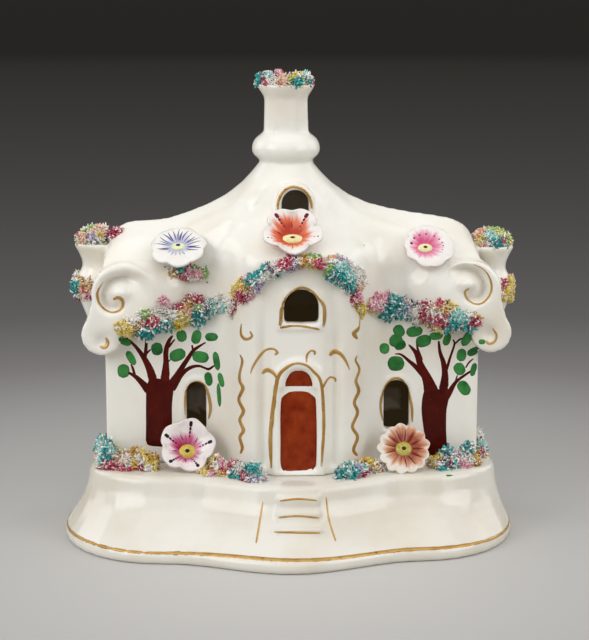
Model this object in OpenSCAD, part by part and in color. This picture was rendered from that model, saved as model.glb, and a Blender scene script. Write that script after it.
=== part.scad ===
// Porcelain cottage pastille burner. The bow-fronted cottage lifts off its base,
// and a pastille burns in the dish below it; the smoke leaves by the chimney,
// the dormer and the windows. Applied flowers and shredded-clay moss dress it.
// Millimetres. The front faces -Y, +Z is up, the origin is under the middle of the foot.

/* [Base] */
// How far the foot stands out past the side walls
foot_out = 11.6; // [11.1:0.1:14.6]
// Depth from the side tips to the foot's front, without the bow
base_front = 33.4; // [32:0.1:36]
// How far the foot stands out past the rear wall
back_out = 9; // [8:0.1:13]
// Length of a rounded end of the foot
end_run = 29.8; // [28:0.1:31]
// How far the middle of the front bows out
base_bow = 10.4; // [8:0.1:11]
// Height of the terrace above the foot
terrace_z = 21; // [20:0.1:24]
// How far the skirt draws in at the sides
skirt_side = 6.2; // [6:0.1:7]
// How far the skirt draws in at the front
skirt_front = 15.3; // [14:0.1:16]
// How far the skirt draws in at the back
skirt_back = 5; // [4:0.1:5]
// Thickness of the base's moulded wall
base_t = 5; // [4:0.1:6]
// Sideways distance between the middles of the cottage and of its base
off_axis = 1.2; // [0.8:0.1:1.4]
// How far the skirt leans to the right as it rises
skirt_lean = 1.2; // [0.8:0.1:1.4]

/* [Steps] */
// Width of the top step
step_w = 11.4; // [9:0.1:14]
// Height of one step
step_h = 3.9; // [3:0.1:4.2]
// Relief of a step on the skirt
step_d = 1.3; // [1:0.1:1.6]

/* [Pastille] */
// Diameter of the pastille's foot
pastille_d = 12; // [8:0.5:13]
// Height of the pastille
pastille_h = 18; // [12:0.5:24]
// Diameter of the dish
dish_d = 16; // [15:0.5:20]
// Depth of the dish
dish_h = 1.2; // [0.8:0.1:1.5]
// Place of the dish behind the side tips
pastille_y = 12; // [8:0.5:14]

/* [Cottage walls] */
// Half width of the cottage
wall_w = 55.7; // [54.5:0.1:56.5]
// Thickness of the moulded wall
wall_t = 4; // [3.5:0.1:4.5]
// Height of the wall top above the foot
eaves_z = 82; // [80:0.5:84]
// Plane of the wings at either side of the bow
wing_y = 2; // [1.5:0.1:2.5]
// Plane of the rear wall
rear_y = 32; // [31:0.1:33]
// How far the bow front stands forward of the wings
bow_d = 15; // [13:0.1:15.5]
// Half width of the bow where it leaves the wings
bow_foot = 27; // [26:0.1:28]
// Half width of the bow's flat middle
bow_flat = 9.5; // [8:0.1:10]
// Sideways distance between the middle of the walls and that of the front's features
sway = 1.2; // [0.8:0.1:1.6]
// Clearance between the locating plinth and the walls
fit = 0.7; // [0.5:0.1:1]
// Height of the locating plinth
plinth_h = 2; // [1.5:0.1:3]

/* [Openings] */
// Width of the right window
right_win_w = 7.6; // [6:0.1:8]
// Width of the left window
left_win_w = 5.8; // [5:0.1:8]
// Sill of a side window above the foot
side_win_z = 31; // [30:0.5:33]
// Height of a side window
side_win_h = 15; // [12:0.5:16]
// Distance of a side window from the front's middle
side_win_x = 30; // [29.5:0.1:31]
// Width of the attic window
attic_w = 10; // [8:0.1:10.5]
// Drop of the attic window's sill below the wall top
attic_drop = 15.4; // [14.5:0.1:16]
// Height of the attic window
attic_h = 9.8; // [8:0.1:10]
// Sideways place of the attic window off the front's middle
attic_off = 0.8; // [0:0.1:1.2]
// Width of the door
door_w = 11; // [9:0.1:12]
// Height of the door with its fanlight
door_h = 31.4; // [28:0.1:32]
// Height of the door below the fanlight
door_leaf_h = 25.6; // [22:0.1:26]
// Width of the dormer opening
dormer_w = 8; // [6:0.1:8.5]
// How far the dormer stands right of the middle
dormer_x = 0.7; // [0:0.1:1.5]
// Rise of the dormer opening's sill above the wall top
dormer_rise = 13; // [12.5:0.1:14]

/* [Roof] */
// Rise of the side ridges above the walls
ridge_h = 10.6; // [9:0.1:12]
// Slant of the ridge, higher to the right
ridge_slant = 0.016; // [0.01:0.001:0.02]
// Height of the swell at the left end of the ridge
ridge_swell = 1; // [0.5:0.1:1.5]
// Rise of the tent over the side ridges at the chimney seat
tent_h = 16; // [15:0.1:17]
// Run over which the tent falls away
tent_run = 12.2; // [11:0.1:13]
// Where the ridges start to roll over at the ends
ridge_end = 30; // [28:0.5:34]
// Thickness of the roof
roof_t = 4.2; // [4:0.1:4.6]

/* [Chimney] */
// Sideways place of the chimney on the cottage
chim_x = -1.5; // [-2:0.1:0]
// Radius of the cushion ring
cushion_r = 10.3; // [10:0.1:10.6]
// Radius of the octagonal shaft at its foot
shaft_r = 7.2; // [6.9:0.1:7.4]
// Radius of the octagonal shaft under the cap
shaft_top_r = 6.9; // [6.5:0.1:7.1]
// Radius of the cap
cap_r = 8.6; // [8:0.1:9]
// Height of the chimney above its seat
chimney_h = 24.2; // [22:0.1:26]
// Height of the cushion ring
cushion_h = 9.4; // [8.5:0.1:10]
// Height of the flared cap
cap_h = 4.6; // [4:0.1:5.5]
// Bore of the flue
flue_d = 8.6; // [7:0.1:9]

/* [Scrolls and turrets] */
// Radius of an upper volute
volute_r = 9.4; // [8.5:0.1:9.6]
// Radius of a lower volute
curl_r = 6; // [5:0.1:6.2]
// How far the front scrolls stand forward of the wings
scroll_d = 5; // [4:0.1:5.5]
// How far a scroll runs back along the side wall
scroll_back = 7; // [5:0.1:8]
// How far an upper volute stands out past the side wall
volute_out = 4.6; // [4:0.1:5.5]
// How far a lower volute stands out past the side wall
curl_out = 7.8; // [7:0.1:9]
// Drop from the eye of an upper volute to that of the lower one
curl_drop = 12.2; // [11:0.1:13]
// How far a turret's axis stands out past the side wall
turret_out = 3.8; // [3.5:0.1:4.1]
// Drop of a turret's tail below the wall top
turret_drop = 24; // [20:0.5:28]
// How much lower the right turret sits
turret_dip = 1.4; // [1:0.1:2]
// Radius of a turret's cup
turret_r = 7; // [6.6:0.1:7.1]

/* [Flowers and moss] */
// Radius of the blue flower
blue_r = 8.3; // [7.5:0.1:8.6]
// Radius of the coral flower
coral_r = 8.2; // [7:0.1:8.4]
// Radius of the pink flower
pink_r = 7.4; // [6.5:0.1:7.8]
// Radius of the left foot flower
left_r = 8.3; // [7:0.1:8.4]
// Radius of the right foot flower
right_r = 8; // [7:0.1:8.2]
// Thickness of a petal
petal_t = 1; // [0.8:0.1:1.2]
// How far back the front eaves round over into the roof
eave_round = 6; // [5:0.1:7]
// Width of the eaves moss
garland_w = 7; // [5:0.1:7.5]
// How far the eaves moss stands out
garland_h = 4.2; // [3:0.1:4.5]
// Height of the turf at the foot of the wall
turf_h = 8.2; // [6:0.1:9]
// Width of the turf at the foot of the wall
turf_w = 7.6; // [6:0.1:8]
// Distance of the blue flower in from the left side wall
blue_in = 22.4; // [19:0.1:24]
// Sideways place of the coral flower
coral_x = -0.5; // [-2:0.1:2]
// Distance of the pink flower in from the right side wall
pink_in = 15.7; // [14:0.1:18]
// Sideways place of the left foot flower
left_x = -30.6; // [-33:0.1:-29]
// Sideways place of the right foot flower
right_x = 33.4; // [31:0.1:35]
// Clearance between the ground moss and the lift-off walls
lift_gap = 0.4; // [0.35:0.05:0.6]

/* [Hidden] */
$fn = 48;
base_tip_y = 3;
base_w = wall_w + foot_out;
base_back = rear_y + back_out - base_tip_y;
house_x = 0.75 * off_axis;
base_x = -0.25 * off_axis;
lip = 1.14;
terrace_side = base_w - lip * skirt_side;
side_mid = (wing_y + rear_y) / 2;
ridge_y = side_mid;
seat_z = eaves_z + 0.6 + ridge_h + tent_h;
seat_r = cushion_r - 1.6;
chim_top = seat_z + chimney_h;
flue_clear = flue_d / 2 + 1.2;
attic_z = eaves_z - attic_drop;
attic_frame = 1.6;
attic_x = sway + attic_off;
dormer_z = eaves_z + dormer_rise;
rib_x = bow_flat + 7.6;
groove_x = bow_flat + 0.7;
right_turret = [wall_w + turret_out + sway, side_mid, eaves_z - turret_dip];
left_turret = [wall_w + turret_out - sway, side_mid, eaves_z];
volute_eye = [wall_w + volute_out - volute_r, eaves_z + 0.8 - volute_r];
curl_eye = [wall_w + curl_out - curl_r, volute_eye[1] - curl_drop];
side_windows = [[sway - side_win_x, left_win_w], [sway + side_win_x, right_win_w]];
garland_z = eaves_z - 2.17 * garland_w;
gable_w = attic_w + 3.85 * garland_w;
gable_h = attic_h + 1.21 * garland_w;
blue_x = blue_in - wall_w;
pink_x = wall_w - pink_in;
blue_place = [blue_x, wing_y + 0.12 * eave_round];
coral_place = [coral_x, wing_y - bow_d + 6.6];
pink_place = [pink_x, wing_y + 0.22 * eave_round];
left_place = [left_x, wing_y - 7.4, terrace_z + left_r - 0.7];
right_place = [right_x, wing_y - 10, terrace_z + right_r - 1.5];
porcelain = "#f4efe4";
moss_green = "#7fa08a";
yolk = "#e8b93c";

// Shapes shared by several pieces

function smooth(t) = let (u = min(1, max(0, t))) u * u * (3 - 2 * u);
function mix(a, b, t) = a + (b - a) * t;
function bump(x, at, run) = exp(-pow((x - at) / run, 2));

// A closed skin over rings of equal length; a loop joins its last ring to its first.
module loft(rings, loop = false) {
    m = len(rings);
    n = len(rings[0]);
    points = [for (r = rings) each r];
    sides = [for (i = [0 : m - (loop ? 1 : 2)]) for (j = [0 : n - 1])
        let (a = i * n + j, b = i * n + (j + 1) % n,
             c = ((i + 1) % m) * n + j, d = ((i + 1) % m) * n + (j + 1) % n)
        each [[a, c, d], [a, d, b]]];
    caps = loop ? [] : [[for (j = [0 : n - 1]) j], [for (j = [n - 1 : -1 : 0]) (m - 1) * n + j]];
    polyhedron(points, concat(sides, caps));
}

// An arched prism standing on z = 0, centred on x = 0, running back from y = 0.
module arch(w, h, depth) {
    rotate([90, 0, 0])
        mirror([0, 0, 1])
            linear_extrude(depth)
                union() {
                    translate([-w / 2, 0])
                        square([w, h - w / 2]);
                    translate([0, h - w / 2])
                        circle(d = w);
                }
}

// Ring of the base's plan at height z, drawn in by the part f of the whole skirt, less wall t.
function base_ring(z, f, t = 0) =
    let (run = base_w - end_run - 3.5 * f,
         a = base_w - skirt_side * f - t, c = run - 0.7 * t,
         bf = base_front - skirt_front * f - t, bb = base_back - skirt_back * f - t)
    [for (p = concat(
        [for (s = [180 : 10 : 269]) [-c + (a - c) * cos(s), bf * sin(s)]],
        [for (i = [-9 : 9]) [c * i / 9, -bf]],
        [for (s = [280 : 10 : 360]) [c + (a - c) * cos(s), bf * sin(s)]],
        [for (s = [10 : 10 : 89]) [c + (a - c) * cos(s), bb * sin(s)]],
        [for (i = [4 : -1 : -4]) [c * i / 4, bb]],
        [for (s = [100 : 10 : 179]) [-c + (a - c) * cos(s), bb * sin(s)]]))
        [base_x + p[0] + skirt_lean * f,
         base_tip_y + p[1]
            - (p[1] < 0 && abs(p[0]) < run ? base_bow * (0.5 + 0.5 * cos(180 * p[0] / run)) : 0),
         z]];

// Part of the skirt's draw reached at height z: a foot band, then a hollow flare.
function skirt_at(z) = 0.1 + 0.9 * (1 - pow(1 - min(1, (z - 4) / (terrace_z - 6)), 1.8));

// Front of the skirt in the middle of the bow at height z.
function skirt_y(z) = base_tip_y - base_front + skirt_front * skirt_at(z) - base_bow;

// Front line of the cottage, with a rib and a groove at either side of the door.
function bow_y(x, t = 0) =
    let (out = abs(x - sway))
    wing_y + t - bow_d * smooth((bow_foot - 0.6 * t - out) / (bow_foot - bow_flat))
    - (t > 2 ? 0 : 0.9 * bump(out, rib_x, 1.9) - 1.2 * bump(out, groove_x, 1.8));

// Plan of the cottage, drawn in by t.
function house_ring(t = 0) =
    let (w = wall_w - t, k = w / wall_w, y0 = wing_y + t, y1 = rear_y - t)
    concat(
        [for (i = [0 : 5]) let (x = -mix(wall_w, bow_foot, i / 6) * k) [x, bow_y(x, t)]],
        [for (i = [-22 : 22]) let (x = sway + bow_foot * k * i / 22) [x, bow_y(x, t)]],
        [for (i = [5 : -1 : 0]) let (x = mix(wall_w, bow_foot, i / 6) * k) [x, bow_y(x, t)]],
        [for (i = [1 : 5]) [w, mix(y0, y1, i / 6)]],
        [for (i = [10 : -1 : -10]) [w * i / 10, y1]],
        [for (i = [5 : -1 : 1]) [-w, mix(y0, y1, i / 6)]]);

// Top of the roof over the point x, y of the cottage's plan.
function roof_z(x, y) =
    let (d = norm([x - chim_x, y - ridge_y]),
         slope = max(0, 1 - abs(y - ridge_y) / (rear_y - ridge_y + 0.5)),
         along = min(1, max(0, abs(x) - ridge_end) / (wall_w - ridge_end)),
         roll = (1 - 0.12 * along) * sqrt(1 - pow(along, 6.4)),
         swell = ridge_swell * (bump(x, 6 - wall_w, 6) - bump(x, 18 - wall_w, 8)),
         side = eaves_z + 0.6 + (ridge_h + ridge_slant * x + swell) * pow(slope, 0.8) * roll,
         top = mix(side, seat_z, min(1, exp((seat_r - d) / tent_run))),
         in = min(1, max(0, y - bow_y(x)) / eave_round))
    mix(eaves_z + 0.6, top, sqrt(1 - pow(1 - in, 2)));

// Upward normal of the roof over the point x, y.
function roof_n(x, y) =
    let (e = 0.5, gx = (roof_z(x + e, y) - roof_z(x - e, y)) / (2 * e),
         gy = (roof_z(x, y + e) - roof_z(x, y - e)) / (2 * e))
    [-gx, -gy, 1] / norm([gx, gy, 1]);

// Turns local z to the direction n.
module face_to(n) {
    rotate([0, acos(n[2] / norm(n)), atan2(n[1], n[0])])
        children();
}

// A block on the plan of the whole cottage
module house_block(t, z0, z1) {
    translate([0, 0, z0])
        linear_extrude(z1 - z0)
            polygon(house_ring(t));
}

// Rough height of moss at place i, so no two tufts match.
function tuft(i, seed) = 0.8 + 0.22 * sin(i * 137 + seed * 71) + 0.12 * sin(i * 59 + seed * 23);

// A bank of moss along path in the local xy plane, flat below, w wide and h high.
function bank_ring(p, dir, w, h, foot) =
    let (u = dir / norm(dir), v = [-u[1], u[0]])
    [for (s = [-90, -64, -32, 0, 32, 64, 90])
        [p[0] - v[0] * w / 2 * sin(s), p[1] - v[1] * w / 2 * sin(s), foot + (h - foot) * max(0, cos(s))]];
function bank(path, w, h, seed, foot = 0) =
    let (n = len(path) - 1)
    [for (i = [0 : n])
        let (run = path[min(n, i + 1)] - path[max(0, i - 1)],
             taper = i == 0 || i == n ? 0.55 : 1,
             fat = len(path[i]) > 2 ? path[i][2] : 1)
        bank_ring(path[i], [run[0], run[1]], w * tuft(i, seed) * taper * fat, h * tuft(i + 7, seed) * taper, foot)];
module moss_bank(path, w, h, seed, foot = 0) {
    color(moss_green)
        loft(bank(path, w, h, seed, foot));
}

// Front of the wall, or of the scroll before it, at x.
function front_y(x) =
    bow_y(x) - scroll_d * smooth((abs(x - sway) - volute_eye[0] + 1.4 * volute_r) / (0.43 * volute_r));

// How far the rounded eaves fall back at a height z.
function eave_back(z) =
    eave_round * (1 - sqrt(1 - pow(min(0.9, max(0, z - eaves_z) / (1.1 * eave_round)), 2)));

// A bank of moss on the cottage's front: the path is in x and z, its back cut to what it lies on.
module wall_moss(path, seed) {
    color(moss_green)
        difference() {
            loft([for (r = bank(path, garland_w, garland_h, seed, -1.2))
                [for (p = r) [house_x + p[0], front_y(p[0]) + eave_back(p[1]) - p[2], p[1]]]]);
            translate([house_x, 0, 0]) {
                house_block(0, terrace_z, eaves_z);
                attic_surround();
            }
            scroll_front_left();
            scroll_front_right();
            children();
        }
}

// Petals of an open flower about local z, n of them, on a short stem.
module petals(r, n, stem, cup, tint) {
    color(tint)
        loft([for (q = [[0, 0.24 * r, -stem], [0, 0.27 * r, -petal_t - 0.4], [0.6, 0.62 * r, -petal_t],
                        [1, r, cup - petal_t], [1, r, cup], [0.6, 0.62 * r, 0.1], [0, 0.32 * r, 0.1]])
            [for (a = [0 : 6 : 359])
                let (lobe = 1 - 0.2 * q[0] * (1 - pow(abs(cos(n * a / 2)), 0.7)))
                [q[1] * lobe * cos(a), q[1] * lobe * sin(a), q[2]]]]);
}
module flower_eye(r) {
    color(yolk)
        translate([0, 0, 0.1])
            intersection() {
                translate([0, 0, -0.12 * r])
                    sphere(r = 0.3 * r);
                cylinder(h = r, r = r);
            }
}

// A flower's frame on the roof over x, y, on a stem that ends just clear of the glaze.
module on_roof(place, lean, stem) {
    n = roof_n(place[0], place[1]) - [0, lean, 0];
    d = n / norm(n);
    translate([house_x + place[0], place[1], roof_z(place[0], place[1])])
        translate(d * (stem + 0.55))
            face_to(d)
                children();
}
module on_ground(place) {
    translate(place)
        rotate([58, 0, 0])
            children();
}

// Base

module base() {
    skirt_z = [4.4, 5.6, 7.4, 9.6, 12.4, 15.6, terrace_z - 2.2];
    color(porcelain)
        difference() {
            union() {
                loft(concat(
                    [base_ring(terrace_z - base_t, 0.95, base_t), base_ring(8, 0.55, base_t),
                     base_ring(0, 0.05, base_t), base_ring(0, 0.04), base_ring(0.9, 0),
                     base_ring(2.6, 0), base_ring(3.6, 0.05)],
                    [for (z = skirt_z) base_ring(z, skirt_at(z))],
                    [base_ring(terrace_z - 1, 1.02), base_ring(terrace_z - 0.25, 1.07),
                     base_ring(terrace_z, lip)]));
                for (i = [0 : 2], top = terrace_z - 2.6 - step_h * i)
                    translate([house_x + sway / 2 - step_w / 2 - 0.6 * i, skirt_y(top) - step_d, top - step_h])
                        cube([step_w + 1.2 * i, step_d + 1.1, step_h]);
                translate([house_x, 0, 0])
                    house_block(wall_t + fit, terrace_z - 1, terrace_z + plinth_h);
            }
            translate([house_x, pastille_y, terrace_z + plinth_h - dish_h])
                cylinder(h = dish_h + 1, d = dish_d);
        }
}

// Ground moss: banks that stand on the terrace and clear the walls as they lift.
module ground_moss(path, w, h, seed) {
    difference() {
        translate([0, 0, terrace_z])
            moss_bank(path, w, h, seed);
        translate([house_x, 0, 0])
            house_block(-lift_gap, terrace_z - 1, terrace_z + 20);
    }
}
function line(from, to, n) = [for (i = [0 : n]) mix(from, to, i / n)];
module moss_left_outer() {
    ground_moss(line([-wall_w - 0.15 * turf_w, wing_y - 0.47 * turf_w],
                     [-side_win_x - 1.25 * turf_w, wing_y - 0.9 * turf_w], 6),
                turf_w, turf_h, 1);
}
module moss_left_inner() {
    ground_moss(line([sway + 0.18 * turf_w - bow_foot, wing_y - turf_w],
                     [sway - bow_flat, wing_y - bow_d - 0.76 * turf_w], 6),
                0.92 * turf_w, 0.68 * turf_h, 2);
}
module moss_right_inner() {
    ground_moss(line([sway + bow_flat + 0.4 * turf_w, wing_y - bow_d - 0.45 * turf_w],
                     [sway + bow_foot - 0.13 * turf_w, wing_y - 1.1 * turf_w], 5),
                0.92 * turf_w, 0.66 * turf_h, 3);
}
module moss_right_outer() {
    ground_moss(line([side_win_x + 1.58 * turf_w, wing_y - 0.97 * turf_w],
                     [wall_w + 0.08 * turf_w, wing_y - 0.58 * turf_w], 6),
                1.05 * turf_w, 0.8 * turf_h, 4);
}

// Turf on the strip of terrace between a side wall and the terrace's edge
module end_moss(side, from, to, h, seed) {
    wall = side * wall_w + house_x;
    edge = side * terrace_side + base_x + lip * skirt_lean;
    x = mix(wall, edge, 0.5);
    ground_moss(line([x, from], [x, to], 5), abs(edge - wall), h, seed);
}
module moss_left_end() {
    end_moss(-1, mix(wing_y, rear_y, 0.67), mix(wing_y, rear_y, 0.07), 0.73 * turf_h, 5);
}
module moss_right_end() {
    end_moss(1, mix(wing_y, rear_y, 0.07), mix(wing_y, rear_y, 0.67), 0.66 * turf_h, 6);
}

// Flowers at the foot of the wall
module left_flower_petals() {
    on_ground(left_place)
        petals(left_r, 5, 3.4, 1.2, "#ecd6e2");
}
module left_flower_centre() {
    on_ground(left_place)
        flower_eye(left_r);
}
module right_flower_petals() {
    on_ground(right_place)
        petals(right_r, 12, 3.4, 0.8, "#f0cfa8");
}
module right_flower_centre() {
    on_ground(right_place)
        flower_eye(right_r);
}

// Pastille
module pastille() {
    color("#4a423c")
        translate([house_x, pastille_y, terrace_z + plinth_h - dish_h])
            rotate_extrude()
                polygon([[0, 0], [pastille_d / 2 - 1, 0], [pastille_d / 2, 1.2],
                         [1.6, pastille_h - 0.8], [0.8, pastille_h], [0, pastille_h]]);
}

// Walls: a press-moulded shell in a front and a rear half
module wall_ring(y0, y1) {
    difference() {
        intersection() {
            house_block(0, terrace_z, eaves_z);
            translate([-wall_w - 5, y0, 0])
                cube([2 * wall_w + 10, y1 - y0, eaves_z + 5]);
        }
        house_block(wall_t, terrace_z - 1, eaves_z + 1);
    }
}
module attic_surround() {
    translate([attic_x, wing_y - bow_d - 0.8, attic_z - attic_frame])
        arch(attic_w + 2 * attic_frame, attic_h + 2 * attic_frame, 2.4);
}
module front_walls() {
    face_y = wing_y - bow_d;
    sill = terrace_z + 1;
    color(porcelain)
        translate([house_x, 0, 0])
            difference() {
                union() {
                    wall_ring(wing_y - 2 * bow_d, side_mid);
                    translate([sway, face_y - 0.8, terrace_z])
                        arch(door_w + 4.6, door_h + 3.4, 2.4);
                    attic_surround();
                    for (w = side_windows)
                        translate([w[0], wing_y - 0.6, side_win_z - 1.4])
                            arch(w[1] + 2.8, side_win_h + 2.8, 2);
                }
                translate([sway, face_y - 2, sill + door_leaf_h + 1.6])
                    arch(door_w - 2.4, door_h - door_leaf_h - 1.8, 2.6);
                translate([sway - door_w / 2, face_y - 2, sill])
                    cube([door_w, 2.6, door_leaf_h - 0.2]);
                translate([attic_x, face_y - 4, attic_z])
                    arch(attic_w, attic_h, wall_t + 9);
                for (w = side_windows)
                    translate([w[0], wing_y - 4, side_win_z])
                        arch(w[1], side_win_h, wall_t + 8);
            }
}
module rear_walls() {
    color(porcelain)
        translate([house_x, 0, 0])
            wall_ring(side_mid, rear_y + wall_t);
}

// Roof: a concave tent, hollow, that stands on the wall tops
module roof() {
    eaves = house_ring(0);
    inner = house_ring(wall_t);
    n = len(eaves);
    axis = [chim_x, ridge_y];
    heads = [for (p = eaves) (p - axis) / norm(p - axis)];
    color(porcelain)
        translate([house_x, 0, 0])
            difference() {
                union() {
                    loft(concat(
                        [[for (p = eaves) [p[0], p[1], eaves_z]]],
                        [for (u = [1, 0.985, 0.96, 0.92, 0.85, 0.74, 0.6, 0.46, 0.32, 0.2, 0.1, 0.03])
                            [for (i = [0 : n - 1])
                                let (p = mix(axis + heads[i] * seat_r, eaves[i], u))
                                [p[0], p[1], roof_z(p[0], p[1])]]],
                        [[for (h = heads) [chim_x + h[0] * seat_r, ridge_y + h[1] * seat_r, seat_z]],
                         [for (h = heads)
                            [chim_x + h[0] * flue_clear, ridge_y + h[1] * flue_clear, seat_z]]],
                        [for (u = [0, 0.16, 0.34, 0.56, 0.8])
                            [for (i = [0 : n - 1])
                                let (p = mix(axis + heads[i] * flue_clear, inner[i], u))
                                [p[0], p[1],
                                 max(eaves_z + 0.4, roof_z(p[0], p[1]) - roof_t - 1.6 * (1 - u))]]],
                        [[for (p = inner) [p[0], p[1], eaves_z]]]), loop = true);
                    translate([dormer_x, -0.6, dormer_z - 1.6])
                        arch(dormer_w + 3.4, dormer_w + 4, 8);
                }
                translate([dormer_x, -6, dormer_z])
                    arch(dormer_w, dormer_w + 0.6, 16.4);
            }
}

// Chimney, bored as the flue
module chimney() {
    z0 = seat_z;
    color(porcelain)
        translate([house_x + chim_x, ridge_y, 0])
            difference() {
                union() {
                    rotate_extrude()
                        polygon([[0, z0], [seat_r, z0], [cushion_r - 2.8, z0 + 0.14 * cushion_h],
                                 [cushion_r - 2.3, z0 + 0.2 * cushion_h],
                                 [cushion_r - 1, z0 + 0.28 * cushion_h],
                                 [cushion_r - 0.2, z0 + 0.41 * cushion_h],
                                 [cushion_r, z0 + 0.52 * cushion_h],
                                 [cushion_r - 0.3, z0 + 0.68 * cushion_h],
                                 [cushion_r - 1, z0 + 0.83 * cushion_h],
                                 [cushion_r - 2.2, z0 + 0.94 * cushion_h], [shaft_r, z0 + cushion_h],
                                 [0, z0 + cushion_h]]);
                    translate([0, 0, z0 + cushion_h - 0.4])
                        rotate(22.5)
                            cylinder(h = chimney_h - cushion_h - cap_h + 1, r1 = shaft_r, r2 = shaft_top_r,
                                     $fn = 8);
                    rotate_extrude()
                        polygon([[0, chim_top - cap_h], [shaft_top_r - 0.7, chim_top - cap_h],
                                 [shaft_top_r, chim_top - 3.4], [cap_r - 0.4, chim_top - 1.4],
                                 [cap_r, chim_top - 0.6], [cap_r, chim_top], [0, chim_top]]);
                }
                translate([0, 0, z0 - 1])
                    cylinder(h = chim_top - z0 + 2, d = flue_d);
            }
}
module chimney_moss() {
    ring_r = (cap_r + flue_d / 2) / 2 + 0.3;
    color(moss_green)
        translate([house_x + chim_x, ridge_y, chim_top])
            loft([for (a = [0 : 15 : 359])
                let (k = tuft(a / 15, 9))
                [for (s = [-90, -50, 0, 50, 90])
                    let (r = ring_r + 0.22 * cap_r * sin(s) * (s > 0 ? k : 0.95))
                    [r * cos(-a), r * sin(-a), 0.407 * cap_r * k * cos(s)]]], loop = true);
}

// Scroll consoles at the upper corners
module scroll(front_y, back_y, shift) {
    color(porcelain)
        difference() {
            translate([shift, back_y, 0])
                rotate([90, 0, 0])
                    union() {
                        translate(volute_eye)
                            cylinder(h = back_y - front_y, r = volute_r);
                        translate(curl_eye)
                            cylinder(h = back_y - front_y, r = curl_r);
                        linear_extrude(back_y - front_y)
                            polygon([volute_eye - [volute_r / 3, 2], volute_eye + [2, 0],
                                     volute_eye + [volute_r - 0.6, 0], curl_eye + [curl_r - 0.4, 0],
                                     curl_eye, curl_eye - [curl_r - 1.4, 0]]);
                    }
            translate([-wall_w, wing_y, terrace_z])
                cube([2 * wall_w, rear_y - wing_y, eaves_z]);
        }
}
module scroll_front_right() {
    translate([house_x, 0, 0])
        scroll(wing_y - scroll_d, wing_y + scroll_back, sway);
}
module scroll_front_left() {
    translate([house_x, 0, 0])
        mirror([1, 0, 0])
            scroll(wing_y - scroll_d, wing_y + scroll_back, -sway);
}
module scroll_rear_right() {
    translate([house_x, 0, 0])
        scroll(rear_y - scroll_back, rear_y + scroll_d - 1, sway);
}
module scroll_rear_left() {
    translate([house_x, 0, 0])
        mirror([1, 0, 0])
            scroll(rear_y - scroll_back, rear_y + scroll_d - 1, -sway);
}

// Side turrets, open cups on the side walls: radii in parts of the cup's, heights in parts of the drop
module turret(at) {
    profile = [[0, -1], [0.23, -1], [0.51, -0.79], [0.84, -0.54], [0.99, -0.375], [0.89, -0.25],
               [0.67, -0.14], [0.67, -0.067], [0.8, 0.033], [1, 0.142], [1, 0.183],
               [0.83, 0.183], [0.66, 0.125], [0, 0.108]];
    translate(at)
        rotate_extrude()
            polygon([for (p = profile) [p[0] * turret_r, p[1] * turret_drop]]);
}
module wall_side() {
    translate([0, wing_y, terrace_z])
        cube([wall_w, rear_y - wing_y, eaves_z]);
}
module turret_cup(at) {
    color(porcelain)
        difference() {
            turret(at);
            wall_side();
        }
}
module turret_right() {
    translate([house_x, 0, 0])
        turret_cup(right_turret);
}
module turret_left() {
    translate([house_x, 0, 0])
        mirror([1, 0, 0])
            turret_cup(left_turret);
}
// Moss heaped in a turret's cup
module turret_heap(at, seed) {
    color(moss_green)
        difference() {
            translate(at)
                loft([for (q = [[0.69, 0.083], [0.91, 0.18], [0.94, 0.233], [0.77, 0.308], [0.37, 0.367]])
                    [for (a = [0 : 24 : 359])
                        let (r = turret_r * q[0] * (0.9 + 0.1 * tuft(a / 24 + 24 * q[1], seed)))
                        [r * cos(a), r * sin(a), turret_drop * q[1]]]]);
            turret(at);
            wall_side();
        }
}
module turret_moss_right() {
    translate([house_x, 0, 0])
        turret_heap(right_turret, 3);
}
module turret_moss_left() {
    translate([house_x, 0, 0])
        mirror([1, 0, 0])
            turret_heap(left_turret, 5);
}
// Moss on the outer side of a turret's bulge
module turret_collar(at, seed) {
    color(moss_green)
        difference() {
            translate(at - [0, 0, 0.39 * turret_drop])
                loft([for (i = [0 : 12])
                    let (a = 84 - 14 * i, k = tuft(i, seed) * (i == 0 || i == 12 ? 0.4 : 1))
                    [for (s = [0 : 45 : 359])
                        let (r = turret_r * (0.89 + 0.21 * k * cos(s)))
                        [r * cos(a), r * sin(a), 0.175 * turret_drop * k * sin(s)]]]);
            turret(at);
        }
}
module turret_foot_moss_right() {
    translate([house_x, 0, 0])
        turret_collar(right_turret, 2);
}
module turret_foot_moss_left() {
    translate([house_x, 0, 0])
        mirror([1, 0, 0])
            turret_collar(left_turret, 4);
}

// Moss along the eaves and over the attic window
module eaves_garland(from, to, seed) {
    wall_moss([for (i = [0 : 11]) concat(mix(from, to, i / 11), 0.85 + 0.75 * sin(i / 11 * 180))], seed);
}
module eaves_moss_left() {
    eaves_garland([0.56 * garland_w - wall_w, garland_z - 0.5 * garland_w],
                  [0.96 * garland_w - bow_foot, garland_z + 0.42 * garland_w], 1);
}
module eaves_moss_right() {
    eaves_garland([bow_foot - 0.66 * garland_w, garland_z + 0.42 * garland_w],
                  [wall_w - 0.05 * garland_w, garland_z - 0.25 * garland_w], 2);
}
module gable_moss() {
    wall_moss([for (t = [-1 : 0.125 : 1])
        [attic_x - 0.4 + gable_w / 2 * t, attic_z - 0.2 + gable_h + garland_w * (0.21 * t - 1.46 * t * t),
         0.62 + 0.55 * t * t + 0.45 * bump(t, 0.7, 0.22)]], 3)
        roof();
}
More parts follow.
